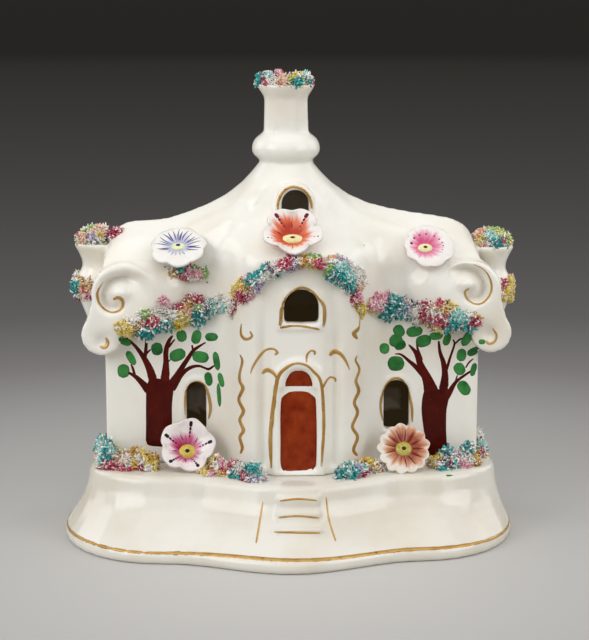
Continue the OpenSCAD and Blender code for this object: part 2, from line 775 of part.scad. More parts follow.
// Moss on the roof's edge below the blue flower
module roof_moss() {
    color(moss_green)
        difference() {
            loft([for (r = bank(line([blue_x - 0.7 * garland_w, eaves_z - 0.45 * garland_w],
                                     [blue_x + 1.15 * garland_w, eaves_z - 0.45 * garland_w], 5),
                                0.9 * garland_w, 0.8 * garland_h, 6, -1.2))
                [for (p = r) [house_x + p[0], wing_y - p[2], p[1]]]]);
            translate([house_x, 0, 0])
                house_block(0, terrace_z, eaves_z + 4);
        }
}

// Flowers on the roof
module blue_flower_petals() {
    on_roof(blue_place, -0.42, 2)
        petals(blue_r, 6, 2, 1.4, "#e4e4f0");
}
module blue_flower_centre() {
    on_roof(blue_place, -0.42, 2)
        flower_eye(blue_r);
}
module coral_flower_petals() {
    on_roof(coral_place, 0.35, 2.8)
        petals(coral_r, 5, 2.8, 1.4, "#f2b7a2");
}
module coral_flower_centre() {
    on_roof(coral_place, 0.35, 2.8)
        flower_eye(coral_r);
}
module pink_flower_petals() {
    on_roof(pink_place, -0.05, 2)
        petals(pink_r, 5, 2, 1.4, "#f3c9d3");
}
module pink_flower_centre() {
    on_roof(pink_place, -0.05, 2)
        flower_eye(pink_r);
}

base();
moss_left_outer();
moss_left_inner();
moss_right_inner();
moss_right_outer();
moss_left_end();
moss_right_end();
left_flower_petals();
left_flower_centre();
right_flower_petals();
right_flower_centre();
pastille();
front_walls();
rear_walls();
roof();
chimney();
chimney_moss();
scroll_front_left();
scroll_front_right();
scroll_rear_left();
scroll_rear_right();
turret_left();
turret_right();
turret_moss_left();
turret_moss_right();
turret_foot_moss_left();
turret_foot_moss_right();
eaves_moss_left();
gable_moss();
eaves_moss_right();
roof_moss();
blue_flower_petals();
blue_flower_centre();
coral_flower_petals();
coral_flower_centre();
pink_flower_petals();
pink_flower_centre();
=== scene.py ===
"""A porcelain cottage pastille burner: glazed slip-cast body, enamel trees and door, gilt lines,
shredded-clay moss and applied flowers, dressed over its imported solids. Metres, front to -Y."""
import math
import random

import bmesh
import bpy
import numpy as np
from mathutils import Matrix, Vector
from mathutils.bvhtree import BVHTree


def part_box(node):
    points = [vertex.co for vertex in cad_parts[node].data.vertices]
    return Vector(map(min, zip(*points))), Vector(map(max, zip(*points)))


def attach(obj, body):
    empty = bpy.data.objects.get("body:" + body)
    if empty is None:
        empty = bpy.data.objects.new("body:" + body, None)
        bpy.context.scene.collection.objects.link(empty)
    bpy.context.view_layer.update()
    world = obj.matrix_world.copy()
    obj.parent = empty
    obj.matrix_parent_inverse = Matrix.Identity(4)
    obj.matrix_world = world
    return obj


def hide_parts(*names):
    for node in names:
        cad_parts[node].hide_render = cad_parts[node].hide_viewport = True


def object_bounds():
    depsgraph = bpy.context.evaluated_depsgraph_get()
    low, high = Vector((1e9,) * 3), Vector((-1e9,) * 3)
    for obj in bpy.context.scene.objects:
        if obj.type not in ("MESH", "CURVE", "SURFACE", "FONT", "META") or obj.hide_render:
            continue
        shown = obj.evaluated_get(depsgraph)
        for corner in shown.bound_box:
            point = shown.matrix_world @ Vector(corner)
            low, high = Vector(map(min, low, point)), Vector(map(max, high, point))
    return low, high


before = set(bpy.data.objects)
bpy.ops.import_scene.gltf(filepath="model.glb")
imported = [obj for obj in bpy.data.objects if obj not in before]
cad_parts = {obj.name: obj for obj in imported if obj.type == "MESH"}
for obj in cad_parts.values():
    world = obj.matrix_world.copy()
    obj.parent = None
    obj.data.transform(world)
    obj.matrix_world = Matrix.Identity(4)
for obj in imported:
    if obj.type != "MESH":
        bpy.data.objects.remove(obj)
cad_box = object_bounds()

# Photograph's view.
# The camera stands a little left of the middle and looks slightly down on the cottage.
# It comes first because the painter's strokes are laid where this camera sees them.
MM = 0.001
PHOTO_W, PHOTO_H = 589, 640
axis_px = 289.9
focal_px = 1794
sensor_w = 36
lens_at = Vector((-18.15, -519.7, 168)) * MM
aim = Vector((0, 0, 65)) * MM


def aimed(obj, place):
    """Puts a camera or a light at a place and turns it to the middle of the cottage."""
    bpy.context.scene.collection.objects.link(obj)
    obj.location = place
    obj.rotation_mode = "QUATERNION"
    obj.rotation_quaternion = (aim - Vector(place)).to_track_quat("-Z", "Y")


camera = bpy.data.objects.new("camera", bpy.data.cameras.new("camera"))
aimed(camera, lens_at)
camera.data.sensor_width = sensor_w
camera.data.lens = sensor_w * focal_px / PHOTO_H
camera.data.shift_x = (PHOTO_W / 2 - axis_px) / PHOTO_H
camera.data.clip_start = 0.01
bpy.context.scene.camera = camera
lens_axes = camera.rotation_quaternion.to_matrix()


def seen(px, py, skin):
    """Where a pixel of the photograph falls on a skin, and the way the skin faces there."""
    ray = lens_axes @ Vector(((px - axis_px) / focal_px, (PHOTO_H / 2 - py) / focal_px, -1))
    return skin.ray_cast(lens_at, ray.normalized())[:2]


# Base.
# The flared foot is a thick slip-cast porcelain shell under a warm white lead glaze. The glaze
# rounds every edge, is clouded with a little cream and shows a few dark specks from the kiln.
# The brown below is real soot near the dish and, inside the cottage, painted shade as well.
soot_and_shade_brown = "#45381f"
# The colour below is a painted glow in the sooty and shaded places, not a lamp.
painted_inner_glow = "#1f180b"
kiln_speck = "#6d5f4c"
base_voxel = 0.62 * MM
skin_rounds = 6
dish_soot, dish_soot_r = 0.85, 22


def srgb(code, alpha=1.0):
    """A colour as the shader wants it, from the way a painter's chart gives it."""
    parts = [int(code[i:i + 2], 16) / 255 for i in (1, 3, 5)]
    return (*[c / 12.92 if c < 0.04045 else ((c + 0.055) / 1.055) ** 2.4 for c in parts], alpha)


def plug(tree, made, inputs):
    """Sets a node's inputs, or links them where a socket is given."""
    for name, value in inputs.items():
        if isinstance(value, bpy.types.NodeSocket):
            tree.links.new(value, made.inputs[name])
        else:
            made.inputs[name].default_value = value


def node(tree, kind, inputs=(), **settings):
    """Adds a shader node with its settings and its inputs."""
    made = tree.nodes.new("ShaderNode" + kind)
    for name, value in settings.items():
        setattr(made, name, value)
    plug(tree, made, dict(inputs))
    return made


def finish(name):
    """An empty finish: its material, node tree and shader."""
    made = bpy.data.materials.new(name)
    made.use_nodes = True
    return made, made.node_tree, made.node_tree.nodes["Principled BSDF"]


def place_in(tree):
    """The place of a spot on its piece, in metres."""
    return node(tree, "TexCoord").outputs["Object"]


def written(tree, name, kind="Fac"):
    """A value that was written on the vertices of a piece."""
    return node(tree, "Attribute", attribute_name=name).outputs[kind]


def blend(tree, share, first, second):
    """Mixes two colours by a share."""
    return node(tree, "Mix", {0: share, 6: first, 7: second}, data_type="RGBA").outputs[2]


def ramp(tree, value, low, high):
    """Turns a value between two limits into a share from 0 to 1."""
    return node(tree, "MapRange", {0: value, 1: low, 2: high}).outputs[0]


def noise(tree, place, scale, detail=2):
    """Clouds of a scale, with so many layers of finer ones."""
    return node(tree, "TexNoise", {"Vector": place, "Scale": scale, "Detail": detail}).outputs["Fac"]


def sums(tree, value, times, plus):
    """A value times one number, plus another."""
    return node(tree, "Math", {0: value, 1: times, 2: plus}, operation="MULTIPLY_ADD").outputs[0]


def bumps(tree, height, strength, depth):
    """Fine relief by a height, so many mm deep."""
    return node(tree, "Bump", {"Height": height, "Strength": strength, "Distance": depth * MM}).outputs[0]


def glaze(name, white, cream):
    """White glazed porcelain: clouded cream, kiln specks and a faint orange-peel skin. Where soot and
    painted shade are written it is brown and dull, and it gives off a faint painted glow that stands in for
    light coming through the thin wall."""
    made, tree, shader = finish(name)
    place = place_in(tree)
    cloud = noise(tree, place, 45, 4)
    body = blend(tree, ramp(tree, cloud, 0.42, 0.75), srgb(white), srgb(cream))
    speck = node(tree, "TexVoronoi", {"Vector": place, "Scale": 190}).outputs["Distance"]
    near = ramp(tree, speck, 0.075, 0.045)
    rare = ramp(tree, noise(tree, place, 120), 0.6, 0.66)
    spotted = node(tree, "Math", {0: near, 1: rare}, operation="MULTIPLY").outputs[0]
    body = blend(tree, spotted, body, srgb(kiln_speck))
    soot_and_shade = written(tree, "soot_and_shade")
    peel = sums(tree, noise(tree, place, 70, 1), 3.0, noise(tree, place, 260))
    plug(tree, shader, {
        # Soot and painted shade turn the glaze brown and dull where they are written.
        "Base Color": blend(tree, soot_and_shade, body, srgb(soot_and_shade_brown)),
        "Roughness": sums(tree, soot_and_shade, 0.6, sums(tree, cloud, 0.12, 0.08)),
        # The emission is a painted glow where soot and painted shade are written.
        "Emission Color": blend(tree, soot_and_shade, srgb("#000000"), srgb(painted_inner_glow)), "Emission Strength": 1.0,
        "Subsurface Weight": 0.15, "Subsurface Radius": (1.0, 0.85, 0.65), "Subsurface Scale": 1.2 * MM,
        "Normal": bumps(tree, peel, 0.22, 0.3)})
    return made


def bmesh_of(mesh):
    """A mesh as a bmesh; the mesh goes."""
    shaped = bmesh.new()
    shaped.from_mesh(mesh)
    bpy.data.meshes.remove(mesh)
    return shaped


def join(bm, other):
    """Adds one bmesh to another and uses it up."""
    mesh = bpy.data.meshes.new("join")
    other.to_mesh(mesh)
    other.free()
    bm.from_mesh(mesh)
    bpy.data.meshes.remove(mesh)


def copy_of(*nodes):
    """The solids of CAD nodes as one bmesh, each solid's loose triangles merged first."""
    joined = bmesh.new()
    for name in nodes:
        solid = bmesh.new()
        solid.from_mesh(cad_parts[name].data)
        bmesh.ops.remove_doubles(solid, verts=solid.verts, dist=0.001 * MM)
        join(joined, solid)
    return joined


def baked(obj):
    """The mesh of an object with its modifiers run, as a bmesh; the object goes."""
    bpy.context.view_layer.update()
    mesh = bpy.data.meshes.new_from_object(obj.evaluated_get(bpy.context.evaluated_depsgraph_get()))
    bpy.data.objects.remove(obj)
    return bmesh_of(mesh)


def loose(name, bm):
    """A bare object made of a bmesh, which is used up."""
    mesh = bpy.data.meshes.new(name)
    bm.to_mesh(mesh)
    bm.free()
    obj = bpy.data.objects.new(name, mesh)
    bpy.context.scene.collection.objects.link(obj)
    return obj


def slip_cast(bm, voxel, rounds):
    """Runs joined solids into one skin and softens it, as slip and glaze do."""
    obj = loose("slip", bm)
    skin = obj.modifiers.new("skin", "REMESH")
    skin.mode = "VOXEL"
    skin.voxel_size = voxel
    soften = obj.modifiers.new("soften", "SMOOTH")
    soften.factor = 0.5
    soften.iterations = rounds
    return baked(obj)


def piece(name, bm, body, materials, stands_for=()):
    """A finished piece: it rides on a body, takes a slot's finish and stands for CAD nodes."""
    obj = loose(name, bm)
    obj.data.shade_smooth()
    for made in materials:
        obj.data.materials.append(made)
    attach(obj, body)
    if stands_for:
        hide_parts(*stands_for)
    return obj


def write_soot_and_shade(bm, share):
    """Writes how sooty, and how darkened by painted shade, each vertex is, from a function of its place and
    facing.
    """
    layer = bm.verts.layers.float.new("soot_and_shade")
    bm.normal_update()
    for v in bm.verts:
        v[layer] = share(v.co / MM, v.normal)


# The base's glaze is written darker and creamier than the cottage's: painted shade for the light falling off
# towards the foot.
base_shaded_glaze = glaze("base_shaded_glaze", "#e6e2d8", "#dbd3c2")
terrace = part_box("front_walls")[0].z / MM
dish = (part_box("pastille")[0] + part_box("pastille")[1]) / 2 / MM
foot = slip_cast(copy_of("base"), base_voxel, skin_rounds)


def scorched(p, n):
    """How sooty the pastille has made the base: less and less away from the dish."""
    if p.z <= terrace:
        return 0
    return dish_soot * max(0, 1 - math.hypot(p.x - dish.x, p.y - dish.y) / dish_soot_r)


write_soot_and_shade(foot, scorched)
foot_skin = BVHTree.FromBMesh(foot)
piece("glazed_base", foot, "base", [base_shaded_glaze], ["base"])

# Pastille.
# A cone of pressed charcoal and gum that stands in the dish. Its skin is matt and crumbly,
# with a grey ash tip where it has burnt.
charcoal, paste, paste_shader = finish("pressed_charcoal")
paste_place = place_in(paste)
grit = noise(paste, paste_place, 900, 5)
cone_low, cone_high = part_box("pastille")
cone_up = node(paste, "SeparateXYZ", {0: paste_place}).outputs["Z"]
ash = ramp(paste, cone_up, cone_high.z - 6 * MM, cone_high.z - 1 * MM)
pressed = blend(paste, grit, srgb("#2b2521"), srgb("#4d443c"))
plug(paste, paste_shader, {"Base Color": blend(paste, ash, pressed, srgb("#a59d92")), "Roughness": 0.95,
                           "Normal": bumps(paste, grit, 0.8, 0.4)})

cone = bmesh.new()
cone_d = cone_high.x - cone_low.x
cone_h = cone_high.z - cone_low.z
bmesh.ops.create_cone(cone, cap_ends=True, segments=40, radius1=cone_d / 2, radius2=0.14 * cone_d / 2,
                      depth=cone_h)
rims = [e for e in cone.edges if len(e.link_faces) == 2 and e.calc_face_angle() > 0.6]
bmesh.ops.bevel(cone, geom=rims, offset=0.8 * MM, segments=4, profile=0.5, affect="EDGES", material=-1)
for cut in np.linspace(-0.44, 0.36, 14):
    bmesh.ops.bisect_plane(cone, geom=cone.verts[:] + cone.edges[:] + cone.faces[:],
                           plane_co=(0, 0, cut * cone_h), plane_no=(0, 0, 1))
for v in cone.verts:
    pits = math.sin(v.co.x * 5100 + v.co.z * 2900) * math.sin(v.co.y * 4300 - v.co.z * 1700)
    crumble = 1 - 0.035 * (1 + pits)
    v.co.x *= crumble
    v.co.y *= crumble
bmesh.ops.translate(cone, verts=cone.verts, vec=(cone_low + cone_high) / 2)
piece("charcoal_pastille", cone, "pastille", [charcoal], ["pastille"])

# Cottage.
# Walls, scroll consoles, side turrets, tent roof and chimney are cast apart, luted together with
# slip and glazed as one, so no joint shows. Each volute coils in to a domed eye, and the roof hangs in soft
# folds. Inside, the smoke of the pastilles has browned it, and painted shade darkens it further, most where
# a spot is most shut in.
cottage_voxel = 0.66 * MM
cottage_triangles = 190000
cottage_nodes = ["front_walls", "rear_walls", "scroll_front_left", "scroll_front_right", "scroll_rear_left",
                 "scroll_rear_right", "turret_left", "turret_right", "roof", "chimney"]
eye_px = {-1: (117, 298), 1: (470.5, 289)}
curl_px = {-1: (102, 341), 1: (489.5, 334)}
console_w, console_down, console_up = 15, -20, 14
scroll_skip_w, scroll_skip_h, face_depth = 9, 14, 3
coil_turns = (0, 30, 60, 90, 130, 160, 190, 220, 262, 263, 300, 330, 360)
coil_radii = (6.9, 6.5, 6.1, 5.8, 5.3, 4.7, 3.8, 2.8, 1.2, 11.5, 10.3, 8.4, 6.9)
channel_turns, channel_shares = (0, 190, 262, 300, 335, 360), (1, 1, 0, 0.25, 0.9, 1)
channel_depth, channel_from, channel_skew, channel_full_w = 3.6, 2.0, 1.6, 3.5
band_turns, band_shares = (0, 200, 262, 320, 360), (1, 1, 0, 0, 1)
band_lift, band_end, band_fade = 0.8, 14, 5
dome_lift, dome_r, dome_x, dome_z = 2.3, 3.1, -0.6, 1.9
curl_depth, curl_r = 1.4, 1.9
valley_px = {"left": [(248, 214), (234, 231), (207, 247), (180, 256)],
             "right": [(330, 205), (345, 222), (368, 238), (396, 249)]}
valley_depth, valley_w, brow_lift, brow_w, brow_off = 0.8, 2.8, 0.6, 3.4, 4
bow_x, flute_x, flute_w, flute_depth, flute_top = 2.1, 10.2, 2.1, 1.7, 72
drape_up, drape_h, drape_w, drape_back = 3, 9, 38, 8
coil_rounds, drape_rounds = 3, 40
shoulder_r, rear_shoulder_r, shoulder_in, shoulder_down = (13, 5.4, 9.5), (13, 4.4, 9.5), 4, 9
hem_count, hem_radii = 24, (0.5, 1.1, 0.8)
flue_r, flue_foot = 4.9, 6
# Reach and hit counts of the rays that set the soot and painted shade inside the cottage.
soot_and_shade_reach = 0.09
room_gap = 15 * MM
open_hits, shut_hits = 7.5, 10
paler_from, paler_to, paler_share = 64, 72, 0.7


def held(x):
    """A number kept between 0 and 1."""
    return min(1, max(0, x))


def rope(points, radii):
    """A round bead of clay along points in mm, as thick at each as its radius, ends closed."""
    curve = bpy.data.curves.new("bead", "CURVE")
    curve.dimensions = "3D"
    curve.bevel_depth = 1.0
    curve.bevel_resolution = 3
    curve.use_fill_caps = True
    line = curve.splines.new("POLY")
    line.points.add(len(points) - 1)
    for knot, place, radius in zip(line.points, points, radii):
        knot.co = (*(Vector(place) * MM), 1)
        knot.radius = radius * MM
    obj = bpy.data.objects.new("bead", curve)
    bpy.context.scene.collection.objects.link(obj)
    return baked(obj)


def squash(bm, shares, place):
    """Squashes a shape along its axes and moves it."""
    bmesh.ops.scale(bm, vec=shares, verts=bm.verts)
    bmesh.ops.translate(bm, verts=bm.verts, vec=place)


def lump(bm, place, radii):
    """A lump of slip that fills a corner: an ellipsoid, in mm."""
    ball = bmesh.new()
    bmesh.ops.create_uvsphere(ball, u_segments=40, v_segments=20, radius=MM)
    squash(ball, radii, Vector(place) * MM)
    join(bm, ball)


def thinned(bm, triangles):
    """The same skin with no more than so many triangles."""
    count = sum(len(f.verts) - 2 for f in bm.faces)
    obj = loose("thin", bm)
    thin = obj.modifiers.new("thin", "DECIMATE")
    thin.ratio = min(1, triangles / count)
    return baked(obj)


def coil(dx, dz):
    """Height in mm of a volute's face, dx outwards and dz up from the eye: a channel that coils in
    between the band and the domed eye."""
    r = math.hypot(dx, dz)
    turn = math.degrees(math.atan2(dx, dz)) % 360
    groove = float(np.interp(turn, coil_turns, coil_radii))
    width = groove - channel_from
    t = (r - channel_from) / max(0.4, width)
    dip = 0
    if 0 < t < 1 and width > 0:
        dip = math.sin(math.pi * t ** channel_skew) * min(1, width / channel_full_w)
    dip *= float(np.interp(turn, channel_turns, channel_shares))
    rise = held(r - groove + 0.5) * float(np.interp(turn, band_turns, band_shares))
    rise *= held((band_end - r) / band_fade)
    dome = max(0, 1 - ((dx - dome_x) ** 2 + (dz - dome_z) ** 2) / dome_r ** 2)
    return dome_lift * dome + band_lift * rise - channel_depth * dip


def across(p, line, side):
    """Distance in plan from a point to a valley's line, positive towards the side roof."""
    best = (1e9, 0)
    for a, b in zip(line, line[1:]):
        run = (b - a).xy
        t = held((p.xy - a.xy).dot(run) / run.length_squared)
        off = p.xy - a.xy - run * t
        best = min(best, (off.length, off.dot(Vector((run.y, -run.x))) * (-1 if side == "left" else 1)))
    return math.copysign(best[0], -best[1])


shell = copy_of(*cottage_nodes)
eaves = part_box("roof")[0].z / MM
roof_cad = BVHTree.FromBMesh(copy_of("roof"))
for side, scroll in ((-1, "left"), (1, "right")):
    low, high = (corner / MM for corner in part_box("scroll_front_" + scroll))
    inner = high.x if side < 0 else low.x
    lump(shell, (inner + side * shoulder_in, 2.5, high.z - shoulder_down), shoulder_r)
    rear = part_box("scroll_rear_" + scroll)[1].y / MM
    lump(shell, (inner + side * shoulder_in, rear - 5, high.z - shoulder_down), rear_shoulder_r)
    hem = []
    for x in np.linspace(inner - side * 11, inner + side * 2, hem_count):
        edge = roof_cad.ray_cast(Vector((x, -60, eaves + 0.7)) * MM, Vector((0, 1, 0)))[0]
        hem.append((x, edge.y / MM + 0.7, eaves + 0.2))
    join(shell, rope(hem, np.interp(range(hem_count), (0, hem_count / 2, hem_count - 1), hem_radii)))
shell = slip_cast(shell, cottage_voxel, skin_rounds)

raw_skin = BVHTree.FromBMesh(shell)
flue_low, flue_high = (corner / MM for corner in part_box("chimney"))
flue = (flue_low + flue_high) / 2
eyes = {side: seen(*px, raw_skin)[0] / MM for side, px in eye_px.items()}
curls = {side: seen(*px, raw_skin)[0] / MM for side, px in curl_px.items()}
valleys = {side: [seen(*p, raw_skin)[0] / MM for p in line] for side, line in valley_px.items()}
front_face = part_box("scroll_front_left")[0].y / MM
rear_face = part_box("scroll_rear_left")[1].y / MM


def by_face(p):
    """Whether a spot is near the plane of the front or the rear scrolls."""
    return p.y < front_face + face_depth or p.y > rear_face - face_depth


shell.normal_update()
coiled, drape = [], []
for v in shell.verts:
    p = v.co / MM
    n = v.normal
    side = -1 if p.x < 0 else 1
    dx, dz = side * (p.x - eyes[side].x), p.z - eyes[side].z
    out = -1 if p.y < 15 else 1
    flat = held((out * n.y - 0.25) / 0.4)
    if abs(dx) < console_w and console_down < dz < console_up and flat and by_face(p):
        dip = math.exp(-((p.x - curls[side].x) ** 2 + (p.z - curls[side].z) ** 2) / curl_r ** 2)
        v.co.y += out * flat * (coil(dx, dz) - curl_depth * dip) * MM
        coiled.append(v)
    elif n.z > 0.15 and eaves < p.z < flue_low.z - 0.5 and p.y < flue.y:
        hand = "left" if p.x < flue.x else "right"
        d = across(p, valleys[hand], hand)
        brow = brow_lift * math.exp(-((d - brow_off) / brow_w) ** 2)
        fold = brow - valley_depth * math.exp(-(d / valley_w) ** 2)
        v.co += n * fold * min(1, (p.z - eaves) / 4) * min(1, (flue_low.z - p.z) / 6) * MM
    if n.y < -0.4 and p.y < 2 and terrace < p.z < flute_top:
        flute = math.exp(-((abs(p.x - bow_x) - flute_x) / flute_w) ** 2)
        v.co.y += flute_depth * flute * min(1, (p.z - terrace) / 3, (flute_top - p.z) / 12) * MM
    hangs = abs(p.z - eaves - drape_up) < drape_h and abs(p.x - bow_x) < drape_w
    if hangs and n.y < -0.05 and p.y < drape_back:
        drape.append(v)
for spots, rounds in ((coiled, coil_rounds), (drape, drape_rounds)):
    for i in range(rounds):
        bmesh.ops.smooth_vert(shell, verts=spots, factor=0.5, use_axis_x=True, use_axis_y=True,
                              use_axis_z=True)
shell = thinned(shell, cottage_triangles)
cottage_skin = BVHTree.FromBMesh(shell)
golden = math.pi * (3 - math.sqrt(5))
dome_rays = [Vector((math.sqrt(1 - h * h) * math.cos(k * golden),
                     math.sqrt(1 - h * h) * math.sin(k * golden), h))
             for k, h in enumerate(np.linspace(0.95, 0.15, 12))]


def soot_and_shade_of(p, n):
    """How brown a spot is from soot and painted shade, the more so the more it is shut in by walls and floor
    on nearly every side: less so in the roof, wholly in the flue, and not on the scrolls."""
    if math.hypot(p.x - flue.x, p.y - flue.y) < flue_r and p.z > flue_low.z - flue_foot:
        return 1
    eye_at = eyes[-1 if p.x < 0 else 1]
    if abs(p.x - eye_at.x) < scroll_skip_w and abs(p.z - eye_at.z) < scroll_skip_h and by_face(p):
        return 0
    turn = n.to_track_quat("Z", "Y")
    start = (p + 0.3 * n) * MM
    wall_gap = cottage_skin.ray_cast(start, Vector((n.x, n.y, 0.001)).normalized(), soot_and_shade_reach)[3] or 0
    hits = 0
    for ray in dome_rays:
        way = turn @ ray
        to_floor = way.z < -0.2 and wall_gap > room_gap
        hits += to_floor or cottage_skin.ray_cast(start, way, soot_and_shade_reach)[0] is not None
    paler = paler_share * held((p.z - paler_from) / (paler_to - paler_from))
    return held((hits - open_hits) / (shut_hits - open_hits)) * (1 - paler)


write_soot_and_shade(shell, soot_and_shade_of)
cottage_glaze = glaze("cottage_glaze", "#f6f3ea", "#ede5d4")
piece("glazed_cottage", shell, "cottage", [cottage_glaze], cottage_nodes)


def on_cottage(x, y):
    """Where a pixel of the photograph falls on the cottage."""
    return seen(x, y, cottage_skin)


def on_base(x, y):
    """Where a pixel of the photograph falls on the base."""
    return seen(x, y, foot_skin)


# Enamel trees.
# Two trees are painted on the wings over the glaze: flat red-brown trunks and branches, and
# round leaves dabbed on in two greens. Each stroke is a low bead of fired enamel, and one small
# drop of the green has fallen on the base.
enamel_t = 0.16 * MM
random.seed(7)


def trail(knots, count):
    """A smooth run of count points through knots of any size."""
    k = np.array(knots, float)
    k = np.vstack([2 * k[0] - k[1], k, 2 * k[-1] - k[-2]])
    spots = np.linspace(0, len(knots) - 1, count)
    run = []
    for s in spots:
        i = min(int(s), len(knots) - 2)
        t = s - i
        a, b, c, d = k[i:i + 4]
        run.append(0.5 * (2 * b + (c - a) * t + (2 * a - 5 * b + 4 * c - d) * t ** 2
                          + (3 * b - a - 3 * c + d) * t ** 3))
    return np.array(run)


def turn_out(bm, faces, way):
    """Turns joined faces to look, on the whole, the way that is given for each."""
    bmesh.ops.recalc_face_normals(bm, faces=faces)
    if sum(f.normal.dot(way(f)) for f in faces) < 0:
        bmesh.ops.reverse_faces(bm, faces=faces)


def stroke(bm, knots, look, lift=0.11, rows=None, cols=4, oval=False):
    """A stroke of enamel or gold along knots of x, y and width, laid where look finds the surface.
    It is pillowed across and sunk at its edges."""
    rows = rows or max(4, 3 * len(knots))
    line = trail(knots, rows + 1)
    way = np.gradient(line[:, :2], axis=0)
    way /= np.linalg.norm(way, axis=1)[:, None] + 1e-12
    tone, edge = (bm.verts.layers.float.get(n) or bm.verts.layers.float.new(n) for n in ("tone", "edge"))
    shade = random.random()
    sheet = bmesh.ops.create_grid(bm, x_segments=cols, y_segments=rows, size=1.0)["verts"]
    lost = []
    towards = Vector()
    for v in sheet:
        u, s = v.co.x, (v.co.y + 1) / 2
        i = min(rows, int(round(s * rows)))
        width = line[i, 2] * (max(0.02, 1 - abs(2 * s - 1) ** 2.6) ** 0.4 if oval else 1)
        spot = line[i, :2] + u * width / 2 * np.array([-way[i, 1], way[i, 0]])
        place, facing = look(spot[0], spot[1])
        if place is None:
            lost.append(v)
            continue
        ends = min(1, 6 * s + 0.15, 6 * (1 - s) + 0.15)
        v.co = place + facing * (lift * (1 - u ** 4) * ends - 0.03) * MM
        v[tone] = shade
        v[edge] = max(abs(u), abs(2 * s - 1) if oval else 0) ** 2
        towards += facing
    bmesh.ops.delete(bm, geom=lost, context="VERTS")
    kept = list({f for v in sheet if v.is_valid for f in v.link_faces})
    turn_out(bm, kept, lambda f: towards)
    bmesh.ops.solidify(bm, geom=kept, thickness=enamel_t)


def enamel(name, low, high, streak, rough, run=0.35):
    """Fired enamel: two tones from stroke to stroke, brush streaks and a soft shine."""
    made, tree, shader = finish(name)
    place = place_in(tree)
    brush = noise(tree, node(tree, "Mapping", {"Vector": place, "Scale": (1, 1, run)}).outputs[0], 900, 3)
    tone = sums(tree, written(tree, "tone"), 0.5, ramp(tree, noise(tree, place, 260), 0.25, 0.75))
    body = blend(tree, ramp(tree, tone, 0.2, 1.25), srgb(low), srgb(high))
    body = blend(tree, ramp(tree, brush, 0.52, 0.78), body, srgb(streak))
    body = blend(tree, ramp(tree, written(tree, "edge"), 0.45, 1.3), body, srgb(low))
    plug(tree, shader, {"Base Color": body, "Roughness": sums(tree, brush, 0.2, rough),
                        "Specular IOR Level": 0.15, "Normal": bumps(tree, brush, 0.25, 0.08)})
    return made


left_limbs = [
    [(158, 448, 28), (159, 430, 29), (159, 405, 29), (160, 388, 30), (161, 378, 24)],
    [(150, 392, 11), (144, 385, 8), (136, 377, 5), (129, 373, 3), (124, 372, 2)],
    [(135, 376, 3), (133, 369, 3), (131, 364, 2)],
    [(155, 386, 13), (150, 370, 9), (144, 358, 6.5), (136, 347, 4), (128, 339, 2.5), (121, 333, 1.3)],
    [(145, 358, 5), (146, 348, 4), (146.5, 337, 2.5)],
    [(146, 354, 3), (151, 349, 1.5)],
    [(165, 386, 14), (166, 364, 7), (166, 351, 6), (169, 341, 4.5), (173, 335, 2)],
    [(168, 348, 3), (175, 339, 1.8)],
    [(167, 363, 2), (171, 359, 1.2)],
    [(171, 386, 12), (177, 376, 8), (183, 366, 6), (189, 357, 5), (194, 350, 4), (206, 342, 2)],
    [(193, 351, 2.5), (192, 345, 2)],
    [(172, 392, 8), (178, 378, 8), (185, 371, 5), (192, 367, 4), (199, 366, 3), (205, 368, 2.6),
     (209, 369, 3), (215, 365, 2.4)]]
left_leaves = [
    (125, 341, 14, 9, 27), (131, 358, 16, 8, 60), (123.5, 371, 14, 13, 90), (157, 349, 13, 12.5, 80),
    (177.6, 355, 17, 13, -22), (200.5, 357, 17, 12.5, 10), (196.4, 337, 14.5, 10.5, -75),
    (181.6, 336, 12, 11, 80), (211.5, 337, 13, 9, 0), (216.5, 361, 19, 7, 80), (208.5, 379, 14, 8.5, 82),
    (221, 380, 15, 6, 76), (219, 395, 24, 4.4, 86), (138, 335, 9, 4.5, 10)]
right_limbs = [
    [(440, 459, 20), (437, 448, 23), (435, 430, 25), (434, 410, 28), (436, 396, 29), (438, 388, 24)],
    [(433, 398, 20), (428, 381, 12), (421, 366, 8), (416, 353, 5), (408, 344, 2)],
    [(427, 379, 8), (417, 368, 6), (409, 361, 4), (401, 354.5, 2.6), (394, 354, 1.2)],
    [(422, 361, 4), (418, 350, 3), (416.5, 342, 1.5)],
    [(443, 395, 13), (445, 376, 8), (443.5, 363, 6), (440, 352, 4), (438.5, 340, 2.8)],
    [(446, 372, 4), (450, 358, 3), (454.5, 344, 2.4), (452.5, 339, 1.6)],
    [(454, 345, 2), (459, 340, 2), (463, 338, 1.6)],
    [(443, 402, 9), (449, 393, 7), (456, 382, 4), (465, 375, 3), (475, 368.5, 2)],
    [(455.5, 381, 2), (457.5, 375, 1.6)],
    [(465.5, 368, 2), (469, 362.5, 2), (473.5, 358.5, 1.4)]]
right_leaves = [
    (384.5, 348.5, 11, 10.5, 90), (396, 363.5, 17, 16, 0), (399, 331, 13, 12, 60), (396, 341, 14, 14, 20),
    (400, 345, 10, 13, 70), (414.5, 331.5, 17, 11.5, -10), (423.5, 341, 16, 13, -15),
    (436, 336, 14, 8.5, -5), (447, 339.5, 13, 8, -70), (467, 338.5, 17, 9, -58), (482, 341.8, 7, 5.5, 0),
    (461.5, 355, 13, 10.5, -80), (459.5, 369, 13, 12, 60), (473.5, 351.5, 14, 8, -25),
    (473.5, 369.5, 14, 6.5, -75), (464, 388, 16, 12.5, 55)]

bark = bmesh.new()
for limb in left_limbs + right_limbs:
    stroke(bark, limb, on_cottage, lift=0.1 + 0.03 * random.random(), cols=8 if limb[0][2] > 18 else 4)
bark_enamel = enamel("red_brown_enamel", "#420b05", "#5a1409", "#4c1007", 0.14)
piece("painted_trees", bark, "cottage", [bark_enamel])

